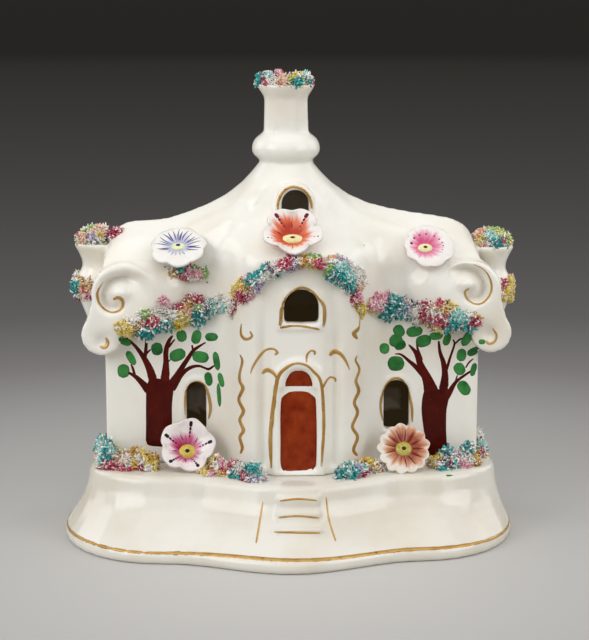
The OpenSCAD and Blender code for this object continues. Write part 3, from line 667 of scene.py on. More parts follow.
foliage = bmesh.new()
for x, y, length, width, turn in left_leaves + right_leaves:
    a = math.radians(turn)
    dx, dy = length / 2 * math.cos(a), length / 2 * math.sin(a)
    stroke(foliage, [(x - dx, y - dy, width), (x, y, width), (x + dx, y + dy, width * 0.95)], on_cottage,
           lift=0.14 + 0.03 * random.random(), rows=9, cols=6, oval=True)
dab = bmesh.new()
stroke(dab, [(445.5, 475.3, 1.6), (449, 475.5, 2.4), (453, 475.2, 1.4)], on_base, oval=True)
leaf_enamel = enamel("leaf_enamel", "#1f5a2a", "#4c9a50", "#2c7335", 0.16)
piece("painted_leaves", foliage, "cottage", [leaf_enamel])
piece("spilt_green", dab, "base", [leaf_enamel])

# Door.
# The arched leaf and its fanlight are painted in iron red between white mouldings, brushed on
# thinly so the strokes show. They lie in the shallow panels cast in the bow.
door_leaf = [
    (298.5, 391, 10), (298.5, 392.5, 22), (298.5, 396, 31), (298.5, 402, 35.5), (298.3, 430, 38),
    (298.3, 455, 37.5), (298.6, 466, 35.5), (299, 471, 29)]
fanlight = [(299, 370.5, 8), (299, 373, 17), (299, 378, 24), (299, 383, 27.5), (299, 386.5, 28)]
door = bmesh.new()
stroke(door, door_leaf, on_cottage, rows=30, cols=12)
stroke(door, fanlight, on_cottage, rows=10, cols=10)
door_enamel = enamel("iron_red_enamel", "#741c04", "#a04218", "#862c0c", 0.1, 0.05)
piece("painted_door", door, "cottage", [door_enamel])

# Gilding.
# Bright gold brushed on last and burnished: frames round the openings, wavy lines, flourishes
# over the door, the scrolls' grooves, the steps and a line round the foot, worn thin in places.
gilt_lines = {
    "attic": [
        [(280, 328, 4), (281, 318, 4), (282, 310, 4), (286, 299, 3.4), (295, 290, 2.4), (303, 287.5, 2),
         (311.5, 291, 2), (319, 299, 2.4), (323.7, 306, 3.4), (324.4, 318, 3.6), (323, 329, 3.2)],
        [(279.7, 328, 2.4), (291, 326, 2), (304, 326.5, 2), (320.5, 329.7, 2)]],
    "left_window": [
        [(185.5, 417, 2.4), (185.5, 396, 2.6), (188.5, 388, 3), (196.5, 382, 2.4), (204, 385, 2.2),
         (208, 393, 2.6), (210.5, 408, 2.8), (208.5, 420, 2)]],
    "right_window": [
        [(383.4, 423, 2), (380.5, 407, 2.2), (382.8, 393.5, 2.4), (388.5, 382, 2.2), (396.6, 378, 2.2),
         (403.5, 382, 2.4), (409.2, 394.6, 2.4), (412, 409.5, 2.4), (412, 424, 2.2)]],
    "door": [
        [(271.4, 471, 2.4), (270.8, 452, 3.6), (270.8, 433, 3.8), (274, 402, 4), (277.8, 378, 3.4),
         (286, 368, 3), (296.3, 363.5, 2), (306.5, 365.4, 2.2), (314, 372, 2.6), (319.3, 378, 2.6),
         (321.8, 387, 2.6), (323.1, 401, 3), (323.7, 426.6, 3.2), (322.6, 450, 3), (321.2, 471, 2.2)]],
    "left_wave": [
        [(239.3, 353.7, 1.2), (242.3, 361, 2), (239.8, 373, 2), (239.8, 381, 2.4), (242.9, 388.4, 2.8),
         (238.8, 399.6, 2.4), (243.4, 410.8, 2.8), (239.8, 420, 2.4), (243.4, 430.2, 2.8),
         (239.8, 437.3, 2.4), (242.3, 447.6, 2.6), (239.8, 454.7, 2.2)]],
    "right_wave": [
        [(357.5, 355.2, 1), (355.6, 360.3, 1.6), (359.4, 369.3, 2), (356, 380.7, 2.4), (358.6, 390.9, 2.8),
         (354.3, 402.4, 2.4), (357.5, 412.6, 2.6), (352.4, 426.6, 2.4), (357.5, 436.8, 2.6),
         (353.7, 449.6, 2.6), (358.1, 456.6, 3)]],
    "curls": [
        [(241.4, 323, 1), (240.8, 333, 2), (243.5, 338, 2.8), (248, 339, 2.6), (252, 336, 2),
         (249.8, 331, 1.8)],
        [(360, 316, 0.8), (359.4, 325, 1), (358, 329, 3), (354, 333.6, 4), (357.6, 339.3, 2.4)],
        [(274, 355, 2), (277.6, 352.7, 2), (273.4, 348.9, 1.8), (265.7, 350.1, 2), (259.3, 356.5, 2.6),
         (253, 366.7, 2), (250.4, 374.4, 1)],
        [(261.9, 373.7, 2.2), (267, 370, 3.6), (273.4, 373, 3), (277.2, 378.8, 1.6)],
        [(314.2, 355.2, 1.8), (314.8, 352, 2), (311, 350.8, 1.6), (307, 355.2, 2), (306.5, 363, 1.6)],
        [(329.5, 356, 2.6), (333.3, 351.8, 4), (339.7, 353.3, 3.4), (345.4, 360.3, 2.4), (350, 370.5, 1)],
        [(335.8, 382, 1.6), (334.6, 378.2, 2), (329.5, 377.5, 1.6), (325, 383.3, 2), (323, 388.4, 1.4)]],
    "scrolls": [
        [(104, 280.8, 1), (97.9, 291, 2.6), (97.6, 297.1, 3), (99.4, 303.3, 2.8), (105.5, 309.9, 2.2),
         (112.7, 312.4, 2), (119.8, 310.4, 3), (122.9, 305.3, 3.4), (122.3, 300.2, 3.8), (117.8, 297.7, 4),
         (112.1, 300.2, 3)],
        [(472.4, 264, 0.9), (484.3, 270, 1.2), (491, 282, 2.4), (490.3, 294, 2.6), (482.8, 302.9, 2.2),
         (474, 303.7, 1.8), (467, 298.4, 2.2), (465, 291.7, 2.6), (470, 288, 3)],
        [(99.5, 346.6, 2.6), (105, 347.4, 4), (107.7, 342.4, 4.2), (105.6, 337.3, 2)],
        [(492.4, 328, 1.6), (496.5, 335, 2.8), (494.2, 341.8, 2.8), (489, 343.5, 3.2),
         (485.6, 340.7, 2.6)]]}
dormer_line = [
    (278, 212, 3.2), (278, 203, 3.8), (281, 194.5, 3.8), (286.5, 189, 3.4), (293, 186.8, 3),
    (300.5, 188.5, 3.2), (306.3, 193, 3.6), (310.5, 200.5, 3.8), (312, 210, 3.2)]
step_lines = [
    [(279, 501, 1.6), (298, 499, 1.8), (318, 500.5, 1.4)],
    [(278, 517.5, 1.4), (298, 516, 1.8), (320, 518, 1.6)],
    [(273, 532, 1.4), (297, 532.5, 2), (321, 533, 1.6)],
    [(263, 501, 1.2), (260, 520, 1.6), (256, 544, 1.8)],
    [(326, 496, 1.2), (329, 520, 1.6), (336, 542, 1.6)]]
foot_line_z, foot_line_w = 3.6, 1.1
foot_mid_y, far_out = 3, 120

gilt, gold, gold_shader = finish("burnished_gilt")
gold_place = place_in(gold)
wear = noise(gold, gold_place, 700, 4)
patchy = ramp(gold, noise(gold, gold_place, 160), 0.35, 0.7)
leaf_tone = blend(gold, patchy, srgb("#b98a3e"), srgb("#d2ac6a"))
plug(gold, gold_shader, {"Base Color": blend(gold, ramp(gold, wear, 0.6, 0.74), leaf_tone, srgb("#8a5f26")),
                         "Roughness": sums(gold, wear, 0.25, 0.26), "Metallic": 0.55,
                         "Normal": bumps(gold, wear, 0.3, 0.05)})


def gild(name, lines, widen, rows=None, look=on_cottage, lift=0.14, body="cottage"):
    """One group of gold lines, each so many times wider than written."""
    gilding = bmesh.new()
    for line in lines:
        wide = [(x, y, w * widen) for x, y, w in line]
        stroke(gilding, wide, look, lift=lift, rows=rows or 8 * len(line))
    piece("gilt_" + name, gilding, body, [gilt])


for name, lines in gilt_lines.items():
    gild(name, lines, 1.5 if "wave" in name else 1.0 if name == "scrolls" else 1.3)
gild("dormer", [dormer_line], 1.0, 60)
gild("steps", step_lines, 1.35, 40, on_base, 0.13, "base")

foot_gold = bmesh.new()
round_count = 240
hoop = bmesh.ops.create_grid(foot_gold, x_segments=2, y_segments=round_count, size=1.0)["verts"]
for v in hoop:
    a = math.pi * v.co.y
    out = Vector((math.cos(a) * 1.6, math.sin(a), 0)).normalized()
    waver = foot_line_z + 0.25 * math.sin(3 * a) + 0.15 * math.sin(7 * a + 1)
    from_out = Vector((out.x * far_out, foot_mid_y + out.y * far_out, waver + v.co.x * foot_line_w / 2)) * MM
    place, facing = foot_skin.ray_cast(from_out, -out)[:2]
    v.co = place + facing * (0.12 * (1 - v.co.x ** 2) - 0.02) * MM
bmesh.ops.remove_doubles(foot_gold, verts=foot_gold.verts, dist=0.01 * MM)
turn_out(foot_gold, foot_gold.faces[:], lambda f: f.calc_center_median() - Vector((0, foot_mid_y * MM, 0)))
bmesh.ops.solidify(foot_gold, geom=foot_gold.faces[:], thickness=enamel_t)
piece("gilt_foot_line", foot_gold, "base", [gilt])

# Moss.
# Clay pushed through a sieve, stuck on in banks of short crumbled shreds with a few wisps at their
# ends, and painted in bright patches under a thin glaze. Bare white clay shows between the colours.
moss_paint = {
    "teal": ["#189a99", "#3cb9b3", "#0b7480"], "aqua": ["#9be0d8", "#d5f2ee", "#5cc0bb"],
    "yellow": ["#f0d23c", "#f7e88e", "#d8b02a"], "mustard": ["#d09a36", "#a8742c", "#e8c064"],
    "pink": ["#f0a5b8", "#fbd8de", "#dd7695"], "crimson": ["#c22a50", "#e06a86", "#951c40"],
    "white": ["#f7f3ea", "#fffdf8", "#e6ddd0"], "pepper": ["#e2dcda", "#33243a", "#94869a"],
    "green": ["#9cc866", "#cfe09a", "#66a04f"], "peach": ["#f2b896", "#f8dec6", "#d98660"],
    "lilac": ["#c4b6d4", "#e4deea", "#8577a8"]}
moss_tufts = {
    "eaves_moss_left": {
        "yellow": [(120, 328), (179, 316), (186, 325)],
        "white": [(135, 313), (164, 315), (173, 312), (221, 299)], "mustard": [(141, 322), (190, 304)],
        "green": [(147, 312), (196, 307)], "pepper": [(152, 304), (207, 305)],
        "crimson": [(152, 323), (178, 305), (195, 299)],
        "teal": [(150, 331), (160, 331), (200, 315), (205, 321)], "pink": [(161, 301), (170, 302)],
        "peach": [(186, 311)], "aqua": [(214, 309), (219, 315), (226, 310)]},
    "gable_moss": {
        "crimson": [(237, 308), (244, 297), (284, 260), (291, 262), (282, 267), (320, 263), (351, 296)],
        "yellow": [(233, 290), (240, 284), (308, 269), (359, 309)], "green": [(316, 251), (333, 270)],
        "mustard": [(246, 288), (304, 262), (311, 264), (355, 300)],
        "pink": [(247, 269), (260, 301), (365, 296)],
        "teal": [(251, 280), (256, 274), (262, 267), (338, 275), (343, 283), (348, 289)],
        "lilac": [(258, 288), (263, 293), (296, 262), (346, 256)],
        "pepper": [(268, 264), (273, 269), (353, 255)],
        "white": [(228, 306), (270, 283), (272, 256), (333, 262), (351, 262), (358, 282), (365, 274)],
        "peach": [(328, 255), (363, 287)], "aqua": [(279, 275), (340, 266), (347, 272), (351, 278)]},
    "eaves_moss_right": {
        "yellow": [(372, 312), (450, 308), (442, 312), (438, 331)], "pink": [(380, 301), (376, 307)],
        "teal": [(390, 310), (396, 317), (404, 322), (395, 302), (450, 328), (458, 332), (465, 327)],
        "pepper": [(402, 296), (412, 300)], "lilac": [(409, 310)],
        "white": [(417, 311), (414, 320), (434, 310), (470, 311)],
        "crimson": [(426, 301), (440, 302), (424, 318), (433, 322), (440, 325), (474, 324), (482, 321)],
        "peach": [(433, 304)], "mustard": [(446, 303), (430, 328), (480, 313)],
        "aqua": [(458, 313), (466, 318)]},
    "roof_moss": {
        "teal": [(164, 270), (176, 267)], "mustard": [(168, 276), (175, 274)],
        "crimson": [(182, 282), (186, 266)], "pink": [(190, 274)], "white": [(193, 279)],
        "green": [(199, 266)]},
    "turret_moss_left": {
        "peach": [(79, 235), (83, 240), (97, 228), (101, 228)],
        "crimson": [(77, 233), (109, 229), (111, 236)],
        "green": [(74, 242), (86, 227), (90, 245), (102, 245)], "lilac": [(92, 235), (93, 243)],
        "yellow": [(99, 237)], "pepper": [(101, 240)], "white": [(84, 230), (105, 232)],
        "pink": [(114, 241)]},
    "turret_foot_moss_left": {
        "white": [(76, 279), (83, 285)], "pink": [(80, 284)], "yellow": [(85, 279), (89, 283)],
        "lilac": [(80, 288)], "teal": [(75, 289)], "mustard": [(87, 291)],
        "crimson": [(78, 297), (89, 300)], "peach": [(84, 297)]},
    "turret_moss_right": {
        "white": [(473, 240), (476, 246), (510, 253)], "peach": [(480, 233)],
        "yellow": [(480, 240), (502, 235), (511, 246)], "aqua": [(488, 235), (493, 237)],
        "green": [(498, 236), (507, 241)], "pepper": [(490, 245)],
        "teal": [(493, 243), (499, 247), (505, 250)], "crimson": [(502, 241), (493, 250)],
        "pink": [(485, 246)]},
    "turret_foot_moss_right": {
        "crimson": [(498, 275), (503, 281)], "peach": [(506, 275), (511, 278)], "pepper": [(501, 288)],
        "green": [(504, 285), (501, 297)], "white": [(504, 290)],
        "yellow": [(509, 285), (510, 291), (507, 298)]},
    "chimney_moss": {
        "teal": [(259, 81), (298, 83), (307, 86)],
        "crimson": [(263, 77), (265, 83), (276, 80), (312, 91), (315, 87)],
        "aqua": [(267, 74), (299, 79), (305, 81)], "pink": [(272, 73), (285, 76)],
        "green": [(292, 86), (302, 88)], "white": [(268, 87), (280, 78), (310, 78)], "peach": [(284, 82)],
        "yellow": [(292, 79), (296, 76)]},
    "moss_left_outer": {
        "teal": [(102, 440), (98, 446), (106, 456)], "aqua": [(113, 438), (115, 444), (101, 453)],
        "green": [(118, 450)], "peach": [(103, 446), (121, 461)],
        "mustard": [(125, 448), (133, 446), (147, 455)], "pepper": [(113, 449)],
        "white": [(126, 456), (141, 461), (146, 470)],
        "crimson": [(110, 463), (120, 466), (130, 468), (138, 469)],
        "yellow": [(133, 463), (142, 452), (148, 462), (153, 466)]},
    "moss_left_inner": {
        "yellow": [(204, 472), (208, 467), (212, 458), (219, 478)], "mustard": [(205, 465)],
        "pink": [(214, 472), (220, 462)], "white": [(217, 466), (226, 460), (240, 468), (262, 470)],
        "crimson": [(222, 468), (232, 462), (242, 472)], "teal": [(233, 472), (247, 467), (253, 470)],
        "aqua": [(236, 476), (258, 471)], "lilac": [(256, 477)]},
    "moss_right_inner": {
        "crimson": [(331, 468), (362, 476), (370, 477)], "pink": [(336, 463), (376, 475)],
        "white": [(343, 463), (383, 466)], "teal": [(336, 470), (341, 471), (350, 466), (354, 473)],
        "aqua": [(347, 470), (363, 468)], "yellow": [(352, 459), (374, 466)], "mustard": [(357, 461)],
        "lilac": [(358, 470)], "green": [(370, 470)], "peach": [(379, 471)]},
    "moss_right_outer": {
        "yellow": [(432, 463), (437, 457), (484, 456)], "mustard": [(433, 468), (480, 452), (478, 464)],
        "white": [(440, 465), (456, 455), (470, 455)],
        "teal": [(443, 467), (445, 453), (464, 450), (455, 461)], "pepper": [(448, 457), (460, 452)],
        "lilac": [(452, 452)], "crimson": [(449, 461)], "pink": [(465, 461)], "peach": [(475, 449)]},
    "moss_left_end": {
        "teal": [(95, 445)], "yellow": [(93, 455)], "pink": [(97, 458)], "white": [(94, 462)],
        "aqua": [(96, 450)]},
    "moss_right_end": {
        "pepper": [(486, 450)], "yellow": [(487, 458)], "crimson": [(484, 453)], "aqua": [(488, 446)],
        "white": [(486, 463)]}}
moss_wisps = {
    "gable_moss": [(234, 305, 2.2), (232, 312, 1.7), (355, 298, 2.2), (358, 305, 2.0), (361, 312, 1.7)],
    "eaves_moss_left": [(221, 299, 1.9), (228, 304, 1.8), (163, 300, 1.5)],
    "eaves_moss_right": [(376, 298, 1.8)],
    "turret_moss_left": [(114, 236, 2.1), (118, 233, 1.7)],
    "moss_left_inner": [(203, 473, 1.7), (208, 476, 1.5)],
    "moss_right_inner": [(330, 468, 1.7)],
    "moss_right_outer": [(432, 466, 1.6)]}
shreds_per_mm2 = 9
shred_len, shred_r = 0.9, 0.22
bare_share, pepper_share = 0.24, 0.03
core_sunk, core_painted_shade = 0.8, 0.8
upright, tumble = 0.12, 0.55
teal_size = 1.55
back_patches, back_gap = 12, 4 * MM

clay, clay_tree, clay_shader = finish("painted_clay")
mottle = noise(clay_tree, place_in(clay_tree), 1500)
bare = ramp(clay_tree, mottle, 0.62, 0.82)
plug(clay_tree, clay_shader, {
    "Base Color": blend(clay_tree, bare, written(clay_tree, "tint", "Color"), srgb("#efe8da")),
    "Roughness": 0.3, "Normal": bumps(clay_tree, mottle, 0.3, 0.1)})


def shred(bend):
    """One bent shred of sieved clay standing on the origin, as points and faces."""
    bm = bmesh.new()
    bmesh.ops.create_cone(bm, cap_ends=True, segments=4, radius1=shred_r * MM, radius2=0.85 * shred_r * MM,
                          depth=shred_len * MM)
    bmesh.ops.bisect_plane(bm, geom=bm.verts[:] + bm.edges[:] + bm.faces[:], plane_co=(0, 0, 0),
                           plane_no=(0, 0, 1))
    for v in bm.verts:
        rise = v.co.z / (shred_len * MM) + 0.5
        v.co.x += bend * rise ** 2 * shred_len * MM
        v.co.z += 0.5 * shred_len * MM
    bm.verts.index_update()
    made = np.array([v.co for v in bm.verts]), [[v.index for v in f.verts] for f in bm.faces]
    bm.free()
    return made


shred_kinds = [shred(bend) for bend in (0.2, 0.45, 0.7)]
shred_shapes = np.array([points for points, faces in shred_kinds])
shred_faces = shred_kinds[0][1]
chart_names = list(moss_paint)
charts = np.array([[srgb(tone)[:3] for tone in tones] for tones in moss_paint.values()])


def dabs(draw, paints):
    """The paint of each shred: mostly its patch's own tones, often the bare white clay."""
    chance = draw.random(len(paints))
    own = np.array([chart_names.index(paint) for paint in paints])
    own[chance < bare_share] = chart_names.index("white")
    own[chance > 1 - pepper_share] = chart_names.index("pepper")
    tone = draw.choice(3, len(paints), p=(0.56, 0.24, 0.2))
    return charts[own, tone] * draw.uniform(0.82, 1.1, (len(paints), 1))


def unit(vectors):
    """Vectors brought to length one."""
    return vectors / np.linalg.norm(vectors, axis=1)[:, None]


def moss(name, body, seed):
    """One bank of moss: its CAD bank, shrunk, as the core, and shreds strewn over its open faces."""
    draw = np.random.default_rng(seed)
    core = copy_of(name)
    for px, py, radius in moss_wisps.get(name, ()):
        spot = (on_base if body == "base" else on_cottage)(px, py)[0]
        bead = bmesh.new()
        bmesh.ops.create_icosphere(bead, subdivisions=2, radius=radius * MM)
        squash(bead, (1, 0.7, 1), spot)
        join(core, bead)
    bmesh.ops.triangulate(core, faces=core.faces)
    core.normal_update()
    faces = [f for f in core.faces if f.calc_area() > 1e-10]
    area = np.array([f.calc_area() for f in faces])
    corners = np.array([[v.co for v in f.verts] for f in faces])
    facings = np.array([f.normal for f in faces])
    centres = corners.mean(1)
    from_lens = (centres - np.array(lens_at)) @ np.array(lens_axes)
    scaled = focal_px * from_lens[:, :2] / from_lens[:, 2:]
    pixels = np.array([axis_px, PHOTO_H / 2]) - scaled * np.array([1, -1])
    hidden = ((centres - np.array(lens_at)) * facings).sum(1) > 0
    seeds, seed_paints = [], []
    for paint, spots in moss_tufts[name].items():
        for spot in spots:
            off = np.linalg.norm(pixels - np.array(spot), axis=1) + 1000 * hidden
            seeds.append(centres[off.argmin()])
            seed_paints.append(paint)
    for place in centres[hidden][::max(1, hidden.sum() // back_patches)]:
        if np.linalg.norm(np.array(seeds) - place, axis=1).min() > back_gap:
            seeds.append(place)
            seed_paints.append(draw.choice(list(moss_tufts[name])))
    seeds, seed_paints = np.array(seeds), np.array(seed_paints)

    def paints_at(spots):
        gaps = np.linalg.norm(spots[:, None] - seeds, axis=2)
        return seed_paints[(gaps + draw.normal(0, 0.3 * MM, gaps.shape)).argmin(1)]

    count = int(area.sum() / MM ** 2 * shreds_per_mm2)
    picks = draw.choice(len(faces), count, p=area / area.sum())
    spots = (corners[picks] * draw.dirichlet((1, 1, 1), count)[:, :, None]).sum(1)
    facing = facings[picks]
    up = unit(facing * upright + draw.normal(0, tumble, (count, 3)))
    across_up = unit(np.cross(draw.normal(0, 1, (count, 3)), up))
    turns = np.stack([across_up, np.cross(up, across_up), up], axis=2)
    patch = paints_at(spots)
    sizes = draw.uniform(0.6, 1.25, count) * np.where(patch == "teal", teal_size, 1)
    roots = spots - facing * draw.uniform(0.1, 0.8, (count, 1)) * MM
    shreds = np.einsum("nij,nkj->nki", turns, shred_shapes[draw.integers(3, size=count)])
    shreds = shreds * sizes[:, None, None] + roots[:, None]
    for v in core.verts:
        v.co -= v.normal * core_sunk * MM
    core.verts.index_update()
    start, each = len(core.verts), shred_shapes.shape[1]
    heap = np.array([v.co for v in core.verts])
    polys = [[v.index for v in f.verts] for f in core.faces]
    polys += [[start + each * i + k for k in face] for i in range(count) for face in shred_faces]
    # The core is painted darker than the shreds: painted shade in the gaps between them.
    colours = np.vstack([core_painted_shade * dabs(draw, paints_at(heap)), dabs(draw, patch).repeat(each, axis=0)])
    core.free()
    edge = 0.05 * MM
    points = np.vstack([heap, shreds.reshape(-1, 3)])
    points = np.clip(points, np.array(cad_box[0]) + edge, np.array(cad_box[1]) - edge)
    points[:, 2] = np.maximum(points[:, 2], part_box(name)[0].z - 4 * MM if body == "base" else 0)
    mesh = bpy.data.meshes.new(name)
    mesh.from_pydata(points.tolist(), [], polys)
    paint = mesh.attributes.new("tint", "FLOAT_COLOR", "POINT")
    paint.data.foreach_set("color", np.hstack([colours, np.ones((len(colours), 1))]).ravel())
    piece(name + "_shreds", bmesh_of(mesh), body, [clay], [name])


for seed, name in enumerate(moss_tufts):
    moss(name, "base" if name.startswith("moss_") else "cottage", seed)

# Flowers.
# Each is a thin cup of white body, pinched into lobes and stuck on with slip. The painter combs
# colour out from the heart, sets dark dots or strokes along the petals and dots a pale centre.
blooms = {
    "left": {
        "lobes": 5, "first": 0, "notch": 0.2, "cup": 0.4, "puff": 0.03, "heart": "#9e1040",
        "comb": "#c8678f", "tip": "#e6d6da", "reach": 0.56, "streaks": 26, "lean": 155, "pull": 0.16,
        "centre": ("#d2bc52", "#b39a2e"), "centre_r": 0.32, "heart_at": (0, -0.17), "squat": 0.85,
        "wide": 1, "tilt": 0},
    "right": {
        "lobes": 13, "first": 12, "notch": 0.13, "cup": 0.12, "puff": 0.055, "heart": "#953d20",
        "comb": "#c98c66", "tip": "#e3d3bf", "reach": 0.86, "streaks": 30, "lean": 45, "pull": 0.34,
        "centre": ("#bdb052", "#9c8f34"), "centre_r": 0.31, "heart_at": (0, 0), "squat": 0.9, "wide": 1,
        "tilt": 0},
    "blue": {
        "lobes": 7, "first": 20, "notch": 0.1, "cup": 0.08, "puff": 0.03, "heart": "#aab0d0",
        "comb": "#c3c8dd", "tip": "#efedea", "reach": 0.5, "streaks": 34, "lean": 95, "pull": 0.3,
        "centre": ("#eef0c0", "#d9df9c"), "centre_r": 0.25, "heart_at": (0, 0), "squat": 0.75, "wide": 1,
        "tilt": 9},
    "coral": {
        "lobes": 5, "first": -18, "notch": 0.28, "cup": 0.38, "puff": 0.03, "heart": "#b8300f",
        "comb": "#e2764f", "tip": "#f3ebe6", "reach": 0.66, "streaks": 32, "lean": 120, "pull": 0.3,
        "centre": ("#f3ebb4", "#e5d68a"), "centre_r": 0.36, "heart_at": (0, -0.2), "squat": 0.55,
        "wide": 1.09, "tilt": 0},
    "pink": {
        "lobes": 9, "first": 10, "notch": 0.09, "cup": 0.1, "puff": 0.03, "heart": "#d0507f",
        "comb": "#e996b3", "tip": "#f1ebe8", "reach": 0.64, "streaks": 30, "lean": 115, "pull": 0.3,
        "centre": ("#f1ebb8", "#e2d894"), "centre_r": 0.3, "heart_at": (-0.17, -0.1), "squat": 0.7,
        "wide": 1, "tilt": 0}}
petal_t = 0.7
rim_inset = 0.985
centre_flat, pupil_r = 0.34, 0.085
bloom_rings, bloom_spokes = 14, 120


def petal_finish(name, look):
    """White petal clay with colour combed out from the heart; the UV map runs round and outwards."""
    made, tree, shader = finish(name + "_petal_glaze")
    polar = node(tree, "SeparateXYZ", {0: node(tree, "UVMap", uv_map="petal").outputs[0]})
    round_u, out_v = polar.outputs["X"], polar.outputs["Y"]
    spokes = node(tree, "Math", {0: round_u, 1: float(look["streaks"])}, operation="MULTIPLY").outputs[0]
    brush = noise(tree, node(tree, "CombineXYZ", {"X": spokes, "Y": out_v}).outputs[0], 1.0, 3)
    lean_at = sums(tree, round_u, 2 * math.pi, -math.radians(look["lean"] + 90))
    lean = node(tree, "Math", {0: lean_at}, operation="COSINE").outputs[0]
    near = sums(tree, lean, look["pull"], sums(tree, out_v, -2.2, 2.2 * look["reach"]))
    share = sums(tree, brush, 1.5, near)
    cloud = noise(tree, place_in(tree), 420)
    body = blend(tree, ramp(tree, cloud, 0.3, 0.8), srgb("#ece8e1"), srgb(look["tip"]))
    body = blend(tree, ramp(tree, share, 0.65, 1.15), body, srgb(look["comb"]))
    body = blend(tree, ramp(tree, share, 1.15, 1.75), body, srgb(look["heart"]))
    plug(tree, shader, {"Base Color": body, "Roughness": 0.16, "Subsurface Weight": 0.12,
                        "Subsurface Scale": 1.0 * MM, "Normal": bumps(tree, brush, 0.2, 0.25)})
    return made


def centre_finish(name, low, high):
    """The pale glazed paste of a flower's centre, a little mottled."""
    made, tree, shader = finish(name + "_centre_glaze")
    grain = noise(tree, place_in(tree), 1400, 3)
    body = blend(tree, ramp(tree, grain, 0.4, 0.75), srgb(low), srgb(high))
    plug(tree, shader, {"Base Color": body, "Roughness": 0.22, "Normal": bumps(tree, grain, 0.3, 0.1)})
    return made


def stand_of(name):
    """Middle, outward axis and radius of a flower and how far its rim stands out, from its CAD petals."""
    spots = np.array([v.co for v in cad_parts[name + "_flower_petals"].data.vertices])
    heart = np.array([v.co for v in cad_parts[name + "_flower_centre"].data.vertices]).mean(0)
    far = np.linalg.norm(spots - heart, axis=1)
    rim = spots[far > 0.8 * far.max()]
    axis = Vector(np.linalg.svd(rim - rim.mean(0))[2][2])
    axis = axis if axis.dot(Vector((0, -0.5, 1))) > 0 else -axis
    radius = float(np.linalg.norm(rim - rim.mean(0), axis=1).max())
    return Vector(heart), axis, radius, axis.dot(Vector(rim.mean(0) - heart))


def cup(look, radius):
    """A lobed cup about local z, local y upwards: a sheet wrapped round, pinched between its lobes."""
    bm = bmesh.new()
    uv = bm.loops.layers.uv.new("petal")
    sheet = bmesh.ops.create_grid(bm, x_segments=bloom_spokes, y_segments=bloom_rings, size=1.0)["verts"]
    flat = {v: ((v.co.x + 1) / 2, (v.co.y + 1) / 2) for v in sheet}
    for f in bm.faces:
        for loop in f.loops:
            loop[uv].uv = flat[loop.vert]
    for v, (turn, out) in flat.items():
        a = 2 * math.pi * turn - math.pi / 2
        lobe = abs(math.cos(look["lobes"] * (a - math.radians(look["first"])) / 2))
        ragged = 1 + 0.018 * math.sin(5 * a + look["first"]) + 0.012 * math.sin(11 * a)
        r = radius * (0.1 + 0.9 * out) * (1 - look["notch"] * (1 - lobe) * out ** 2.5) * ragged ** out
        rise = look["cup"] * out ** 1.4 + look["puff"] * lobe ** 0.7 * math.sin(math.pi * min(1, out * 1.1))
        rise += 0.02 * math.sin(3 * a + 2) * out
        rise -= 0.06 * max(0, out - 0.82) / 0.18 * lobe
        off = radius * (1 - out)
        v.co = (r * math.cos(a) + off * look["heart_at"][0], r * math.sin(a) + off * look["heart_at"][1],
                radius * rise)
    bmesh.ops.remove_doubles(bm, verts=bm.verts, dist=0.004 * MM)
    turn_out(bm, bm.faces[:], lambda f: Vector((0, 0, 1)))
    return bm


strong_dots = [(0.46, 0.5), (0.57, 0.65), (0.68, 0.8), (0.82, 1.35)]
weak_dots = [(0.72, 0.35), (0.84, 0.5)]
pink_dots = [
    (166, 0.66, 1.0), (142, 0.64, 0.75), (117, 0.6, 0.6), (90, 0.58, 0.55), (55, 0.58, 0.5), (33, 0.6, 0.5),
    (15, 0.62, 0.5), (0, 0.62, 0.45), (-17, 0.6, 0.45), (205, 0.5, 0.35)]


def dot(at, s, w):
    """A round dot at a turn in degrees and a share of the radius, so many mm wide, as knots."""
    return [(at, s - 0.07 * w, w), (at + 1, s, w), (at, s + 0.07 * w, w)]


def petal_marks(name, look):
    """The painter's marks on a flower, as knots of turn in degrees, share of the radius and width in mm."""
    marks = []
    if name in ("left", "coral"):
        for k in range(5 if name == "left" else 4):
            at = look["first"] + 72 * k + (8 if name == "left" else 0)
            strong = name == "left" or k in (1, 2)
            marks += [dot(at, s, w) for s, w in (strong_dots if strong else weak_dots)]
            if strong:
                marks.append([(at + 36, 0.36, 0.35), (at + 37, 0.46, 0.3), (at + 39, 0.56, 0.12)])
    if name == "pink":
        marks += [dot(*spot) for spot in pink_dots]
    if name == "right":
        for k in range(13):
            at = look["first"] + 360 / 13 * (k + 0.5)
            if not 205 < at % 360 < 265:
                marks.append([(at, 0.31, 0.5), (at + 1, 0.52, 0.42), (at + 2, 0.8, 0.16)])
    if name == "blue":
        for k in range(18):
            at = -22 + 224 * k / 17 + random.uniform(-4, 4)
            end = random.uniform(0.72, 1.0)
            middle = (at + random.uniform(-4, 4), 0.6 * end, random.uniform(0.34, 0.7))
            marks.append([(at, 0.28, 0.26), middle, (at + random.uniform(-5, 5), end, 0.1)])
        for k in range(5):
            at = 222 + 20 * k
            marks.append([(at, 0.28, 0.16), (at + 3, 0.4, 0.2), (at + 5, 0.5, 0.1)])
    return marks


